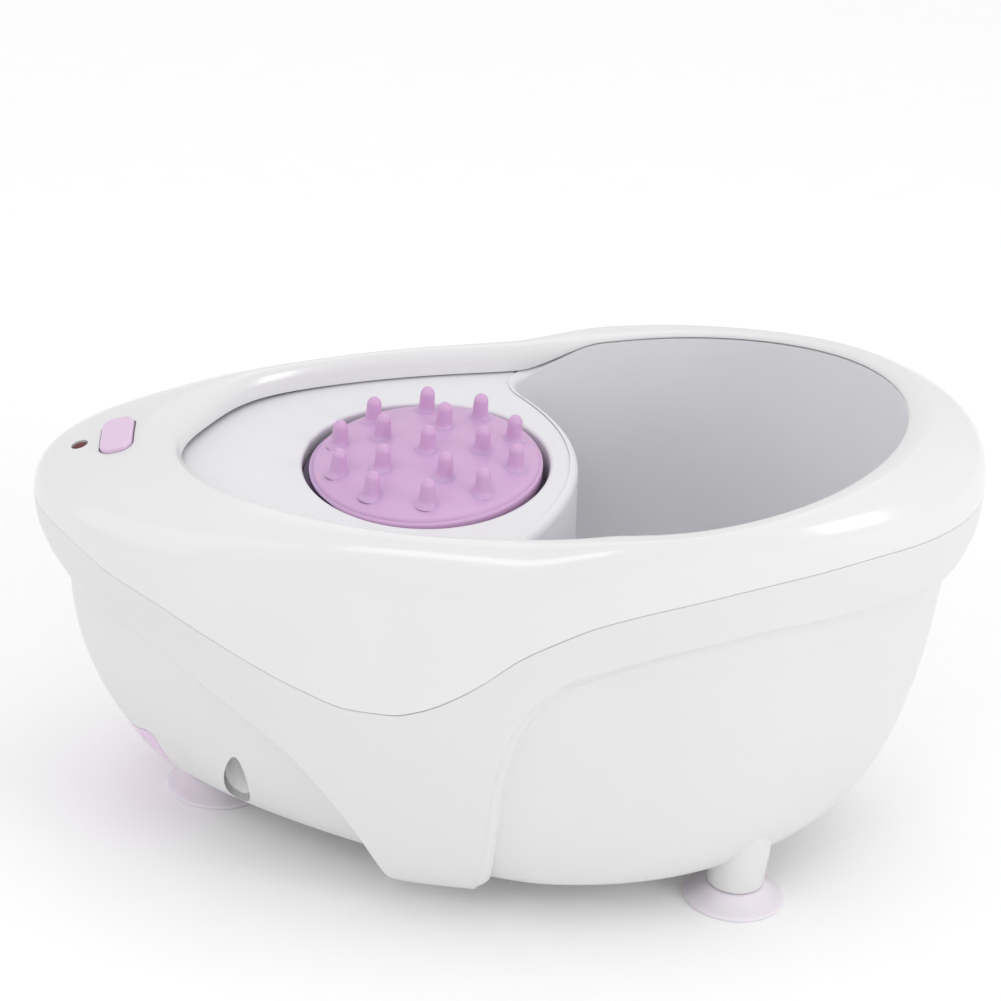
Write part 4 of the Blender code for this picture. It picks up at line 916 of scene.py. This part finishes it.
def build_studio():
    mesh = bpy.data.meshes.new("floor")
    size = FLOOR_HALF_SIZE
    corners = [(-size, -size, 0), (size, -size, 0), (size, size, 0), (-size, size, 0)]
    mesh.from_pydata(corners, [], [(0, 1, 2, 3)])
    mat, nodes, links, shader = node_material("floor_paper")
    coords = nodes.new("ShaderNodeTexCoord")
    noise = add_node(nodes, "ShaderNodeTexNoise", Scale=60.0, Detail=4.0)
    links.new(coords.outputs["Object"], noise.inputs["Vector"])
    ramp = nodes.new("ShaderNodeValToRGB")
    ramp.color_ramp.elements[0].color = (0.93, 0.93, 0.93, 1)
    ramp.color_ramp.elements[1].color = (0.95, 0.95, 0.95, 1)
    links.new(noise.outputs["Fac"], ramp.inputs["Fac"])
    links.new(ramp.outputs["Color"], shader.inputs["Base Color"])
    shader.inputs["Roughness"].default_value = 0.9
    shader.inputs["Specular IOR Level"].default_value = 0.2
    floor = bpy.data.objects.new("floor", mesh)
    bpy.context.scene.collection.objects.link(floor)
    mesh.materials.append(mat)
    world = bpy.data.worlds.new("studio")
    bpy.context.scene.world = world
    world.use_nodes = True
    world.node_tree.nodes["Background"].inputs["Color"].default_value = (1.0, 1.0, 1.0, 1)
    world.node_tree.nodes["Background"].inputs["Strength"].default_value = WORLD_STRENGTH
    for name, spot, size, power in STUDIO_LIGHTS:
        light = bpy.data.lights.new(name, "AREA")
        light.shape = "RECTANGLE"
        light.size, light.size_y = size
        light.energy = power
        obj = bpy.data.objects.new(name, light)
        bpy.context.scene.collection.objects.link(obj)
        obj.location = spot
        obj.rotation_euler = (Vector(LIGHT_AIM) - Vector(spot)).to_track_quat("-Z", "Y").to_euler()


def build_camera():
    """The camera stands well back, in front and above, and a little rolled."""
    elevation, roll, yaw = (math.radians(a) for a in CAMERA_ANGLES)
    shift = np.array(CAMERA_OFFSET)
    across = np.array([math.cos(yaw), -math.sin(yaw), 0])
    down = np.array([-math.sin(yaw) * math.sin(elevation), -math.cos(yaw) * math.sin(elevation),
                     -math.cos(elevation)])
    ahead = np.array([math.sin(yaw) * math.cos(elevation), math.cos(yaw) * math.cos(elevation),
                      -math.sin(elevation)])
    spot = -(shift[0] * across + shift[1] * down + shift[2] * ahead)
    spot -= np.array([CAMERA_SIDESTEP, 0, 0])
    right = across * math.cos(roll) - down * math.sin(roll)
    below = across * math.sin(roll) + down * math.cos(roll)
    camera = bpy.data.cameras.new("camera")
    camera.sensor_width = CAMERA_SENSOR
    camera.lens = CAMERA_LENS
    camera.clip_end = 20
    obj = bpy.data.objects.new("camera", camera)
    bpy.context.scene.collection.objects.link(obj)
    turn = Matrix([[right[k], -below[k], -ahead[k]] for k in range(3)])
    obj.matrix_world = Matrix.Translation(Vector(spot * MM)) @ turn.to_4x4()
    bpy.context.scene.camera = obj


# ---------------------------------------------------------------- everything

build_camera()
build_studio()
bpy.context.scene.view_settings.view_transform = "Standard"

GLOSS_WHITE = plastic("gloss_white", (0.735, 0.735, 0.735), 0.20, coat=0.3, texture=0.01)
SATIN_WHITE = plastic("satin_white", (0.705, 0.705, 0.705), 0.38, texture=0.03)
# The liner is white plastic. Its grey, lilac-tinted base colour is painted shade inside the bowl and under
# the hand on the palm rest, with a painted lilac reflection of the pad.
BOWL_WHITE_PAINTED_SHADE = plastic("bowl_white_painted_shade", (0.755, 0.75, 0.775), 0.42, texture=0.03)
LILAC = plastic("lilac_gloss", (0.72, 0.53, 0.72), 0.28, coat=0.2)
PAD_LILAC = plastic("pad_lilac", (0.61, 0.385, 0.62), 0.38, subsurface=0.15)
CUP_RUBBER = plastic("cup_rubber", (0.78, 0.72, 0.78), 0.35, subsurface=0.25)
# The dark_rubber slot gets a dark purplish colour that is painted shade: the seal under the pad's gap is
# lilac-grey rubber, darkened to stand for the shadowed gap round the pad.
RUBBER_PAINTED_GAP_SHADE = plastic("dark_rubber", (0.16, 0.12, 0.20), 0.65)
LAMP_RED = plastic("lamp_red", (0.11, 0.004, 0.01), 0.45)
BLACK = plastic("black_plastic", (0.03, 0.03, 0.03), 0.45)
BOARD = plastic("board_green", (0.03, 0.16, 0.07), 0.40)
CELL = plastic("cell_sleeve", (0.05, 0.05, 0.07), 0.28)
WIRE_RED = plastic("wire_red_pvc", (0.45, 0.02, 0.02), 0.40)
WIRE_BLACK = plastic("wire_black_pvc", (0.02, 0.02, 0.02), 0.40)
STEEL = metal("zinc_steel", (0.62, 0.62, 0.62), 0.32)
BRASS = metal("turned_brass", (0.72, 0.55, 0.28), 0.32)

build_casing(SATIN_WHITE, LILAC)
build_cover(GLOSS_WHITE)
build_controls(LILAC, LAMP_RED)
build_liner(BOWL_WHITE_PAINTED_SHADE)
build_pad(PAD_LILAC)
build_feet(CUP_RUBBER)

SLOT_LOOKS = {
    "dark_rubber": RUBBER_PAINTED_GAP_SHADE, "steel": STEEL, "brass": BRASS, "black_plastic": BLACK,
    "circuit_board_green": BOARD, "battery_sleeve": CELL, "wire_red": WIRE_RED, "wire_black": WIRE_BLACK,
}
SLOT_OF = {part["node"]: part["material_slot"] for part in frame["record"]["subparts"]}
for node, obj in frame["nodes"].items():
    look = SLOT_LOOKS.get(SLOT_OF.get(node))
    if look:
        obj.data.materials.clear()
        obj.data.materials.append(look)
